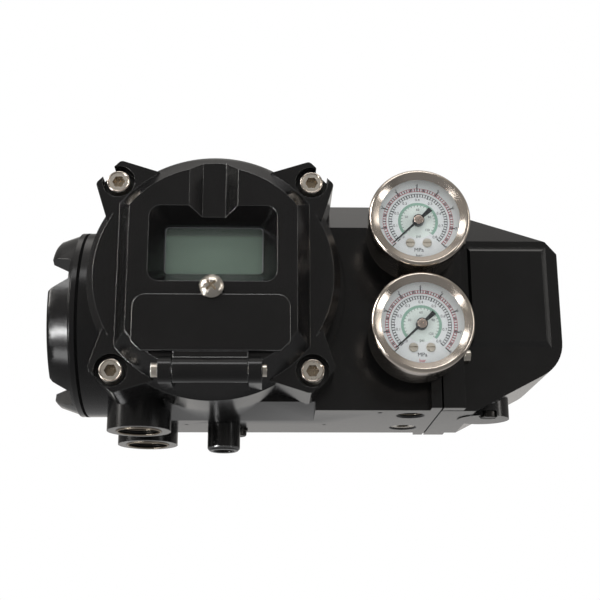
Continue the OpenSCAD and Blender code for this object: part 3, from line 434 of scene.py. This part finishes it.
# %% Display, dial and glass
def darker_top(material, start, end, low):
    tree = material.node_tree
    color = shader_of(material).inputs["Base Color"]
    place = add_node(tree, "ShaderNodeTexCoord")
    _, _, z = split_axes(tree, place.outputs["Object"])
    shade = add_node(tree, "ShaderNodeMix", data_type="RGBA", blend_type="MULTIPLY")
    shade.inputs["Factor"].default_value = 1
    first, second = (socket for socket in shade.inputs if socket.type == "RGBA")
    tree.links.new(color.links[0].from_socket, first)
    tree.links.new(fade(tree, z, start, end, 1, low), second)
    result = next(socket for socket in shade.outputs if socket.type == "RGBA")
    tree.links.new(result, color)


DISPLAY = textured("display_glass_grey", (0.112, 0.168, 0.124), rough=0.25, grain=2500,
                   bump=0.01, vary=0.03, tint=0.02)
DIAL = textured("dial_enamel", (0.70, 0.72, 0.72), rough=0.5, grain=900, bump=0.01, tint=0.015)
LENS = clear_glass("gauge_glass", (0.25, 0.28, 0.28), 0.04, 0.03)
WINDOW = clear_glass("window_glass", (0.3, 0.34, 0.31), 0.10, 0.05)
SHADE_START, SHADE_END, SHADE_TONE = 0.0074, 0.0046, 0.22
display_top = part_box("display_window")[1][2]
darker_top(DISPLAY, display_top - SHADE_START, display_top - SHADE_END, SHADE_TONE)
print("display top", round(display_top, 4))

# %% [markdown]
# The record names a material slot for each solid, and each slot has its finish. A few
# pieces look different in the photograph, so they get one of their own.

# %% Give each solid its finish
BY_SLOT = {
    "black_paint": PAINT, "steel": NICKEL, "polished_steel": BEZEL, "glass": LENS,
    "display": DISPLAY, "dial_white": DIAL, "rubber": RUBBER, "board_green": BOARD,
    "black_plastic": PLASTIC, "pointer_black": PLASTIC, "brass": BRASS,
    "aluminium": ALUMINIUM, "copper": COPPER,
}
BY_NODE = {
    "display_window": WINDOW, "earth_screw": OXIDE, "auto_manual_screw": OXIDE,
    "cover_screws": STAINLESS, "hinge_pin": STAINLESS, "dial_screws": ZINC,
    "exhaust_vent": PAINT,
}
for row in frame["record"]["subparts"]:
    name = row["node"]
    data = nodes[name].data
    data.materials.clear()
    data.materials.append(BY_NODE.get(name, BY_SLOT[row["material_slot"]]))
print("finishes", len(bpy.data.materials))

# %% [markdown]
# Castings and turned parts have no razor edges, and it is the rounded edge that
# catches the light. Each visible solid is copied, its split vertices are merged, its
# flat triangles are joined, and a bevel by angle rounds what is left. The bevel's faces
# take a painted highlight, and on the dial screws a painted shade, but not on the
# housing and the cap, whose edges are dull.

# %% Round the edges of the CAD pieces
BODY_OF = {node: body for body, held in frame["record"]["behaviour"]["bodies"].items()
           for node in held}
SOFT = ("housing", "terminal_cap")
# Bevel faces get a painted highlight on paint and stainless, and a painted shade on the plated
# dial screws.
PAINTED_EDGE_OF = {PAINT: EDGE_HIGHLIGHT, STAINLESS: SCREW_RIM_HIGHLIGHT, ZINC: SOCKET_SHADE}
WELD = 2e-6
FLAT, SHARP = math.radians(0.4), math.radians(40)


def merged_copy(node):
    mesh = nodes[node].data.copy()
    work = bmesh.new()
    work.from_mesh(mesh)
    bmesh.ops.remove_doubles(work, verts=work.verts, dist=WELD)
    return mesh, work


def plain_mesh(piece):
    graph = bpy.context.evaluated_depsgraph_get()
    return bpy.data.meshes.new_from_object(piece.evaluated_get(graph), depsgraph=graph)


def smooth_up_to(mesh, angle):
    for poly in mesh.polygons:
        poly.use_smooth = True
    mesh.set_sharp_from_angle(angle=angle)


def rounded_copy(node, width, crease):
    mesh, work = merged_copy(node)
    bmesh.ops.dissolve_limit(work, angle_limit=FLAT, verts=work.verts, edges=work.edges)
    work.to_mesh(mesh)
    work.free()
    mesh.name = node + "_rounded"
    smooth_up_to(mesh, SHARP)
    piece = put_in_scene(node + "_rounded", mesh)
    edge = piece.modifiers.new("edges", "BEVEL")
    edge.width = width
    edge.segments = 3
    edge.limit_method = "ANGLE"
    edge.angle_limit = math.radians(crease)
    # The bevel's faces take the painted highlight or the painted shade that belongs to this
    # finish.
    if mesh.materials[0] in PAINTED_EDGE_OF and node not in SOFT:
        mesh.materials.append(PAINTED_EDGE_OF[mesh.materials[0]])
        edge.material = 1
    even = piece.modifiers.new("normals", "WEIGHTED_NORMAL")
    even.keep_sharp = True
    solid = plain_mesh(piece)
    piece.modifiers.clear()
    piece.data = solid
    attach(piece, BODY_OF[node])
    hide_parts(node)
    return piece


EDGES = {
    "housing": 0.0009, "manifold_block": 0.0006, "main_cover": 0.0009,
    "pilot_cover": 0.0009, "terminal_cap": 0.0006, "button_cover": 0.00025,
    "cover_screws": 0.0009, "button_cover_screw": 0.0003, "hinge_pin": 0.0003,
    "hinge_pin_clip": 0.0002, "pilot_cover_screws": 0.0004, "exhaust_vent": 0.0005,
    "earth_screw": 0.0003, "auto_manual_screw": 0.0003, "upper_gauge_case": 0.0003,
    "lower_gauge_case": 0.0003, "upper_gauge_socket": 0.0002, "lower_gauge_socket": 0.0002,
    "feedback_shaft": 0.0004, "port_plug": 0.0003, "dial_screws": 0.00035,
}
USUAL_CREASE = 30
CREASE = {"pilot_cover": 12}
for name, width in EDGES.items():
    made = rounded_copy(name, width, CREASE.get(name, USUAL_CREASE))
    print(name, len(made.data.polygons), "faces")

# %% [markdown]
# The drive of a screw head lies in shade, so its socket is painted darker than the
# rim: painted shade. Faces that lie behind the head's front and close to its axis get that
# painted shade.

# %% Shade the drives of the screw heads
HEAD_R = 0.005
HEX_REACH, HEX_BEHIND = 0.0030, 0.0004
CROSS_REACH, CROSS_BEHIND = 0.0028, 0.0009


def shade_drives(piece, axes, reach, behind):
    piece.data.materials.append(SOCKET_SHADE)
    shade = len(piece.data.materials) - 1
    front = min(v.co.y for v in piece.data.vertices)
    count = 0
    for poly in piece.data.polygons:
        spot = poly.center
        close = any(math.hypot(spot.x - x, spot.z - z) < reach for x, z in axes)
        if spot.y - front > behind and close:
            # These faces get the painted shade.
            poly.material_index = shade
            count += 1
    return count


def corner_axes(node, head_r):
    low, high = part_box(node)
    return [(x, z) for x in (low[0] + head_r, high[0] - head_r)
            for z in (low[2] + head_r, high[2] - head_r)]


cover_axes = corner_axes("cover_screws", HEAD_R)
low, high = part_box("button_cover_screw")
flap_axis = [((low[0] + high[0]) / 2, (low[2] + high[2]) / 2)]
heads = bpy.data.objects["cover_screws_rounded"]
print("cover screw drives", shade_drives(heads, cover_axes, HEX_REACH, HEX_BEHIND))
head = bpy.data.objects["button_cover_screw_rounded"]
print("flap screw drive", shade_drives(head, flap_axis, CROSS_REACH, CROSS_BEHIND))

# %% [markdown]
# Round pieces are turned, as on a lathe: a profile of radius and depth goes once round
# an axis. The terminal cap closes on a near-black lip ring, a painted shadow that shows
# as a dark line at the seam. Each cover screw has a rolled bright rim around its socket.


# %% Turn the cap's lip and the screw rims
def to_mesh(work, name):
    mesh = bpy.data.meshes.new(name)
    work.to_mesh(mesh)
    work.free()
    return mesh


def turned(name, profile, at, material, body, steps=120, axis="Y"):
    work = bmesh.new()
    rings = []
    for step in range(steps):
        turn = math.tau * step / steps
        across, up = math.cos(turn), math.sin(turn)
        ring = []
        for r, along in profile:
            spot = (r * across, along, r * up) if axis == "Y" else (along, r * across, r * up)
            ring.append(work.verts.new(Vector(at) + Vector(spot)))
        rings.append(ring)
    for a, b in zip(rings, rings[1:] + rings[:1]):
        for k in range(len(profile) - 1):
            work.faces.new((a[k], a[k + 1], b[k + 1], b[k]))
    bmesh.ops.remove_doubles(work, verts=work.verts, dist=1e-7)
    bmesh.ops.recalc_face_normals(work, faces=work.faces)
    mesh = to_mesh(work, name)
    smooth_up_to(mesh, math.radians(35))
    mesh.materials.append(material)
    piece = put_in_scene(name, mesh)
    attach(piece, body)
    return piece


def arc_steps(sweep, count, first=0, last=None):
    return [sweep * k / count for k in range(first, count + 1 if last is None else last)]


# A near-black ring in the seam: painted shadow in the joint between cap and compartment.
SEAM_X = -0.06115
low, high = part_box("terminal_cap")
seal_r = (high[2] - low[2]) / 2 + 0.00005
inner_r = seal_r - 0.0003
lip = [(inner_r, 0), (seal_r, 0.00005), (seal_r, 0.0012), (inner_r, 0.0013), (inner_r, 0)]
seam = (SEAM_X, (low[1] + high[1]) / 2, (low[2] + high[2]) / 2)
made = turned("cap_joint_shadow_lip", lip, seam, SEAL_LIP_SHADOW, "body", axis="X")
print(made.name, "radius", round(seal_r, 5))

RIM_R, RIM_HALF, RIM_PROUD, RIM_FOOT = HEAD_R - 0.00045, 0.00043, 0.00030, 0.0002
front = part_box("cover_screws")[0][1]
ring = [(RIM_R + RIM_HALF * math.cos(t), -RIM_PROUD * math.sin(t)) for t in arc_steps(math.pi, 8)]
ring += [(HEAD_R - 0.00085, RIM_FOOT), (HEAD_R - 0.00005, RIM_FOOT), ring[0]]
for number, (x, z) in enumerate(cover_axes, 1):
    made = turned(f"cover_screw_rim_{number}", ring, (x, front, z), BEZEL, "body", 48)
print("screw rims", number)

# %% [markdown]
# A gauge bezel is a strip of steel rolled over the case, so its front is smooth. A bevel
# cannot round it enough, so its profile is a quarter roll at the rim and a shallow cone
# down to the lens. The pointers are made a little fuller, and a domed button with a
# small dimple covers each hub.

# %% Turn the rolled bezels and the hub buttons
LENS_R = 0.0173
ROLL_WIDE, ROLL_BACK, ROLL_PROUD = 0.0015, 0.0014, 0.0005
CONE_DEEP, CONE_BOW = 0.0016, 1.05
BEZEL_WALL, BEZEL_FOOT = 0.0008, 0.0012
HUB_R, HUB_EDGE, HUB_DOME = 0.0020, 0.0001, 0.00025
HUB_FOOT = 0.0002
DIMPLE = [(0.0006, -0.00035), (0.0005, -0.00018), (0.0, -0.00018)]
POINTER_SWELL = 0.00015


def bezel_profile(rim, deep):
    crown = rim - ROLL_WIDE
    back = [(rim - BEZEL_WALL, deep), (rim - 0.0003, deep), (rim, deep - 0.0004)]
    roll = [(crown + ROLL_WIDE * math.cos(t), ROLL_BACK - (ROLL_BACK + ROLL_PROUD) * math.sin(t))
            for t in arc_steps(math.pi / 2, 10)]
    cone = [(crown - (crown - LENS_R) * u, CONE_DEEP * u ** CONE_BOW - ROLL_PROUD)
            for u in arc_steps(1, 10, first=1)]
    foot = [(LENS_R, BEZEL_FOOT), (rim - BEZEL_WALL, BEZEL_FOOT), (rim - BEZEL_WALL, deep)]
    return back + roll + cone + foot


def fuller(node, by):
    mesh, work = merged_copy(node)
    work.normal_update()
    for vert in work.verts:
        vert.co += Vector((vert.normal.x, 0, vert.normal.z)) * by
    work.to_mesh(mesh)
    work.free()
    piece = put_in_scene(node + "_full", mesh)
    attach(piece, BODY_OF[node])
    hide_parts(node)
    return piece


dome = [(HUB_R, HUB_FOOT), (HUB_R, -HUB_EDGE)]
dome += [(HUB_R * math.cos(t), -HUB_EDGE - HUB_DOME * math.sin(t))
         for t in arc_steps(math.pi / 2, 6, first=1, last=6)]
dome += DIMPLE
for gauge in ("upper", "lower"):
    low, high = (Vector(corner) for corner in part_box(gauge + "_gauge_bezel"))
    hub = (low + high) / 2
    profile = bezel_profile((high.x - low.x) / 2, high.y - low.y)
    bezel = turned(gauge + "_bezel_rolled", profile, (hub.x, low.y, hub.z), BEZEL, "body")
    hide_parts(gauge + "_gauge_bezel")
    pointer = gauge + "_pointer"
    fuller(pointer, POINTER_SWELL)
    at = (hub.x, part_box(pointer)[0][1], hub.z)
    button = turned(gauge + "_hub_button", dome, at, HUB_STEEL, BODY_OF[pointer], 48)
    print(bezel.name, len(bezel.data.polygons), button.name, len(button.data.polygons))

# %% [markdown]
# The window has a fine moulded lip where it meets the recess. It is a ridge around a
# rounded rectangle: an outer and an inner loop, with a raised loop between them. Its
# pale grey is a painted highlight along the window's edge.

# %% The lip of the display window
HELD = 0.003
CORNER_R, LIP_WIDE, LIP_RISE = 0.002, 0.0005, 0.0002


def rounded_loop(wide, high, corner, y, segments=6):
    points = []
    for quarter, (sx, sz) in enumerate(((1, 1), (-1, 1), (-1, -1), (1, -1))):
        for step in range(segments + 1):
            turn = math.pi / 2 * (quarter + step / segments)
            points.append((sx * (wide / 2 - corner) + corner * math.cos(turn), y,
                           sz * (high / 2 - corner) + corner * math.sin(turn)))
    return points


def lip_ring(name, wide, high, at):
    work = bmesh.new()
    loops = []
    for inset, y in ((0, 0), (LIP_WIDE / 2, -LIP_RISE), (LIP_WIDE, 0)):
        points = rounded_loop(wide - 2 * inset, high - 2 * inset, CORNER_R - inset, y)
        loops.append([work.verts.new(Vector(at) + Vector(point)) for point in points])
    for outer, inner in zip(loops, loops[1:] + loops[:1]):
        for k in range(len(outer)):
            after = (k + 1) % len(outer)
            work.faces.new((outer[k], outer[after], inner[after], inner[k]))
    bmesh.ops.recalc_face_normals(work, faces=work.faces)
    mesh = to_mesh(work, name)
    mesh.materials.append(WINDOW_LIP_HIGHLIGHT)
    piece = put_in_scene(name, mesh)
    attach(piece, "body")
    return piece


low, high = (Vector(corner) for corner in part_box("display_window"))
opening = high - low - Vector((2 * HELD, 0, 2 * HELD))
middle = (low + high) / 2
made = lip_ring("window_lip", opening.x, opening.z, (middle.x, low.y, middle.z))
print(made.name, tuple(round(v, 4) for v in opening))

# %% [markdown]
# A gauge dial is a printed enamel plate. The marks of a scale repeat around an arc,
# which is a job for Geometry Nodes: one small bar is put on each point of the arc. The
# helpers start and end a node group, and turn what it makes into a plain mesh.


# %% Helpers for node groups
def start_group(name, inputs):
    group = bpy.data.node_groups.new(name, "GeometryNodeTree")
    for label, kind in inputs:
        group.interface.new_socket(label, in_out="INPUT", socket_type="NodeSocket" + kind)
    group.interface.new_socket("Geometry", in_out="OUTPUT", socket_type="NodeSocketGeometry")
    return group, add_node(group, "NodeGroupInput").outputs


def end_group(group, points, shape, material, rotation=None):
    link = group.links.new
    copies = add_node(group, "GeometryNodeInstanceOnPoints")
    link(points, copies.inputs["Points"])
    link(shape, copies.inputs["Instance"])
    if rotation is not None:
        link(rotation, copies.inputs["Rotation"])
    real = add_node(group, "GeometryNodeRealizeInstances")
    link(copies.outputs["Instances"], real.inputs["Geometry"])
    paint = add_node(group, "GeometryNodeSetMaterial")
    link(real.outputs["Geometry"], paint.inputs["Geometry"])
    link(material, paint.inputs["Material"])
    out = add_node(group, "NodeGroupOutput")
    link(paint.outputs["Geometry"], out.inputs["Geometry"])
    return group


def combined(group, **values):
    made = add_node(group, "ShaderNodeCombineXYZ")
    for axis, value in values.items():
        group.links.new(value, made.inputs[axis])
    return made.outputs["Vector"]


def grown(group, values):
    items = group.interface.items_tree
    sockets = {item.name: item.identifier for item in items if item.in_out == "INPUT"}
    holder = put_in_scene("holder", bpy.data.meshes.new("holder"))
    maker = holder.modifiers.new("maker", "NODES")
    maker.node_group = group
    for label, value in values.items():
        maker[sockets[label]] = value
    mesh = plain_mesh(holder)
    bpy.data.objects.remove(holder)
    return mesh


# %% A node group for the marks of a scale
def arc_marks_group():
    group, given = start_group("Arc marks", (
        ("Count", "Int"), ("Radius", "Float"), ("Start", "Float"), ("Sweep", "Float"),
        ("Length", "Float"), ("Width", "Float"), ("Height", "Float"), ("Material", "Material"),
    ))
    link = group.links.new
    line = add_node(group, "GeometryNodeMeshLine")
    link(given["Count"], line.inputs["Count"])
    index = add_node(group, "GeometryNodeInputIndex").outputs[0]
    share = maths(group, "DIVIDE", index, maths(group, "SUBTRACT", given["Count"], 1))
    swept = maths(group, "MULTIPLY", share, given["Sweep"])
    turn = maths(group, "SUBTRACT", given["Start"], swept)
    put = add_node(group, "GeometryNodeSetPosition")
    link(line.outputs["Mesh"], put.inputs["Geometry"])
    across = maths(group, "MULTIPLY", maths(group, "COSINE", turn), given["Radius"])
    up = maths(group, "MULTIPLY", maths(group, "SINE", turn), given["Radius"])
    link(combined(group, X=across, Z=up), put.inputs["Position"])
    bar = add_node(group, "GeometryNodeMeshCube")
    size = combined(group, X=given["Length"], Y=given["Height"], Z=given["Width"])
    link(size, bar.inputs["Size"])
    spin = combined(group, Y=maths(group, "MULTIPLY", turn, -1.0))
    return end_group(group, put.outputs["Geometry"], bar.outputs["Mesh"], given["Material"], spin)


ARC_MARKS = arc_marks_group()
print("group", ARC_MARKS.name, "nodes", len(ARC_MARKS.nodes))

# %% [markdown]
# The print is thin ink on the plate: arcs, marks, numbers and units. Each is a mesh of
# its own ink, and one dial's print is joined into a single piece.

# %% Inks and the parts of the print
INKS = {
    "black_ink": (0.02, 0.02, 0.025), "red_ink": (0.50, 0.04, 0.07),
    "dark_red_ink": (0.24, 0.03, 0.05), "pale_green_ink": (0.64, 0.70, 0.66),
    "green_ink": (0.24, 0.39, 0.31),
}
BLACK_INK, RED_INK, DARK_RED_INK, TINT_INK, GREEN_INK = (
    textured(name, color, rough=0.6, grain=900, bump=0.0) for name, color in INKS.items())
SCALE_START, SCALE_SWEEP = math.radians(225), math.radians(270)
PRINT = 0.00006


def marks(count, radius, length, width, ink):
    return grown(ARC_MARKS, {
        "Count": count, "Radius": radius, "Start": SCALE_START, "Sweep": SCALE_SWEEP,
        "Length": length, "Width": width, "Height": PRINT, "Material": ink,
    })


def arc_band(radius, width, ink, sweep=SCALE_SWEEP, steps=96, lift=PRINT / 2):
    work = bmesh.new()
    rows = []
    for step in range(steps + 1):
        turn = SCALE_START - sweep * step / steps
        rows.append([work.verts.new((r * math.cos(turn), -lift, r * math.sin(turn)))
                     for r in (radius - width / 2, radius + width / 2)])
    for a, b in zip(rows, rows[1:]):
        work.faces.new((a[0], a[1], b[1], b[0]))
    bmesh.ops.recalc_face_normals(work, faces=work.faces)
    mesh = to_mesh(work, "arc")
    mesh.materials.append(ink)
    return mesh


def word(text, size, at, ink):
    letters = bpy.data.curves.new("letters", "FONT")
    letters.body = text
    letters.size = size
    letters.align_x = "CENTER"
    letters.align_y = "CENTER"
    letters.extrude = PRINT / 2
    letters.resolution_u = 3
    holder = put_in_scene("letters", letters)
    mesh = plain_mesh(holder)
    bpy.data.objects.remove(holder)
    upright = Matrix.Rotation(math.radians(90), 4, "X")
    mesh.transform(Matrix.Translation((at[0], 0, at[1])) @ upright)
    mesh.materials.clear()
    mesh.materials.append(ink)
    return mesh


def join_as(name, parts, at, body):
    work = bmesh.new()
    inks = []
    for mesh in parts:
        first = len(work.faces)
        work.from_mesh(mesh)
        work.faces.ensure_lookup_table()
        for face in work.faces[first:]:
            ink = mesh.materials[face.material_index]
            if ink not in inks:
                inks.append(ink)
            face.material_index = inks.index(ink)
    bmesh.ops.translate(work, verts=work.verts, vec=at)
    joined = to_mesh(work, name)
    for ink in inks:
        joined.materials.append(ink)
    piece = put_in_scene(name, joined)
    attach(piece, body)
    return piece


# %% [markdown]
# The dial has three rings. The outer one is a red ladder, two arcs with rungs between
# them, with longer black marks and bar numbers outside. The middle one is a black
# ladder with MPa numbers inside. The inner one is a green arc with psi numbers.

# %% Print the two dials
RED_R, RED_RUNG = 0.01445, 0.0014
LONG_R, LONG_RUNG = 0.0150, 0.0024
BLACK_R, BLACK_RUNG = 0.0119, 0.0013
GREEN_R, GREEN_WIDE = 0.0080, 0.0012
TINT_R = 0.0074
STEPS = 8
BAR_R, MPA_R, PSI_R = 0.0166, 0.0099, 0.0054
PSI_STEP = 15


def around(radius, share):
    turn = SCALE_START - SCALE_SWEEP * share
    return radius * math.cos(turn), radius * math.sin(turn)


def dial_print(node, unit_ink):
    low, high = (Vector(corner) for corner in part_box(node))
    middle = (low + high) / 2
    parts = [
        arc_band(0.0138, 0.00022, RED_INK),
        arc_band(0.0151, 0.00016, RED_INK),
        arc_band(TINT_R / 2, TINT_R, TINT_INK, sweep=math.tau, lift=0),
        marks(61, RED_R, RED_RUNG, 0.00036, DARK_RED_INK),
        marks(25, RED_R, RED_RUNG, 0.00038, BLACK_INK),
        marks(9, LONG_R, LONG_RUNG, 0.00045, BLACK_INK),
        arc_band(0.0126, 0.00020, BLACK_INK),
        arc_band(0.0113, 0.00012, BLACK_INK),
        marks(49, BLACK_R, BLACK_RUNG, 0.00036, BLACK_INK),
        marks(13, 0.0118, 0.0016, 0.00042, BLACK_INK),
        arc_band(GREEN_R, GREEN_WIDE, GREEN_INK),
        marks(25, 0.0071, 0.0007, 0.00020, BLACK_INK),
    ]
    for step in range(STEPS + 1):
        share = step / STEPS
        parts.append(word(str(step), 0.0020, around(BAR_R, share), BLACK_INK))
        parts.append(word(f"0.{step}", 0.0017, around(MPA_R, share), BLACK_INK))
        if step % 2 == 0:
            parts.append(word(str(step * PSI_STEP), 0.0015, around(PSI_R, share), BLACK_INK))
    parts.append(word("psi", 0.0018, (0, -0.0066), BLACK_INK))
    parts.append(word("MPa", 0.0024, (0, -0.0128), BLACK_INK))
    parts.append(word("bar", 0.0021, (0, -0.0153), unit_ink))
    face = Vector((middle.x, low.y - PRINT / 2, middle.z))
    piece = join_as(node + "_print", parts, face, BODY_OF[node])
    return piece


for node, ink in (("upper_gauge_dial", BLACK_INK), ("lower_gauge_dial", RED_INK)):
    made = dial_print(node, ink)
    print(made.name, len(made.data.polygons), "faces")

# %% [markdown]
# The conduit mouths and the air port are tapped. A thread is one ring repeated down a
# bore, so a second node group strings rings along a line. A conduit's mouth also gets
# one bright ring, where the thread breaks through the face.


# %% A node group for threads
def thread_group():
    group, given = start_group("Thread rings", (
        ("Turns", "Int"), ("Pitch", "Float"), ("Radius", "Float"), ("Depth", "Float"),
        ("Material", "Material"),
    ))
    link = group.links.new
    line = add_node(group, "GeometryNodeMeshLine")
    link(given["Turns"], line.inputs["Count"])
    link(combined(group, Z=given["Pitch"]), line.inputs["Offset"])
    ring, ridge = (add_node(group, "GeometryNodeCurvePrimitiveCircle") for _ in range(2))
    ring.inputs["Resolution"].default_value = 64
    ridge.inputs["Resolution"].default_value = 4
    link(given["Radius"], ring.inputs["Radius"])
    link(given["Depth"], ridge.inputs["Radius"])
    swept = add_node(group, "GeometryNodeCurveToMesh")
    link(ring.outputs["Curve"], swept.inputs["Curve"])
    link(ridge.outputs["Curve"], swept.inputs["Profile Curve"])
    return end_group(group, line.outputs["Mesh"], swept.outputs["Mesh"], given["Material"])


THREADS = thread_group()
print("group", THREADS.name, "nodes", len(THREADS.nodes))

# %% Cut the threads
MOUNTS = {mount["name"]: mount for mount in frame["record"]["mounts"]}
CONDUIT_PITCH, PORT_PITCH = 0.00181, 0.00134
RIDGE_SHARE, START_SHARE = 0.24, 1.2
MOUTH_OUT, MOUTH_DEEP = 0.0004, 0.0005
INTO_BORE = 0.0001


def thread_rings(turns, pitch, radius, depth, at):
    mesh = grown(THREADS, {"Turns": turns, "Pitch": pitch, "Radius": radius, "Depth": depth,
                           "Material": THREAD})
    mesh.transform(Matrix.Translation(at))
    return mesh


conduit_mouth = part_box("housing")[0][2]
port_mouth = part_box("manifold_block")[0][2]
rings = []
for name, mouth, turns, pitch in (("conduit_front", conduit_mouth, 10, CONDUIT_PITCH),
                                  ("conduit_rear", conduit_mouth, 10, CONDUIT_PITCH),
                                  ("air_port", port_mouth, 7, PORT_PITCH)):
    x, y, _ = MOUNTS[name]["pos_m"]
    bore = MOUNTS[name]["dims"]["r_mm"] / 1000
    start = (x, y, mouth + START_SHARE * pitch)
    rings.append(thread_rings(turns, pitch, bore - INTO_BORE, RIDGE_SHARE * pitch, start))
    if name != "air_port":
        rings.append(thread_rings(1, pitch, bore + MOUTH_OUT, MOUTH_DEEP, (x, y, mouth)))
threads = join_as("cut_threads", rings, (0, 0, 0), "body")
print("threads", len(threads.data.polygons), "faces")
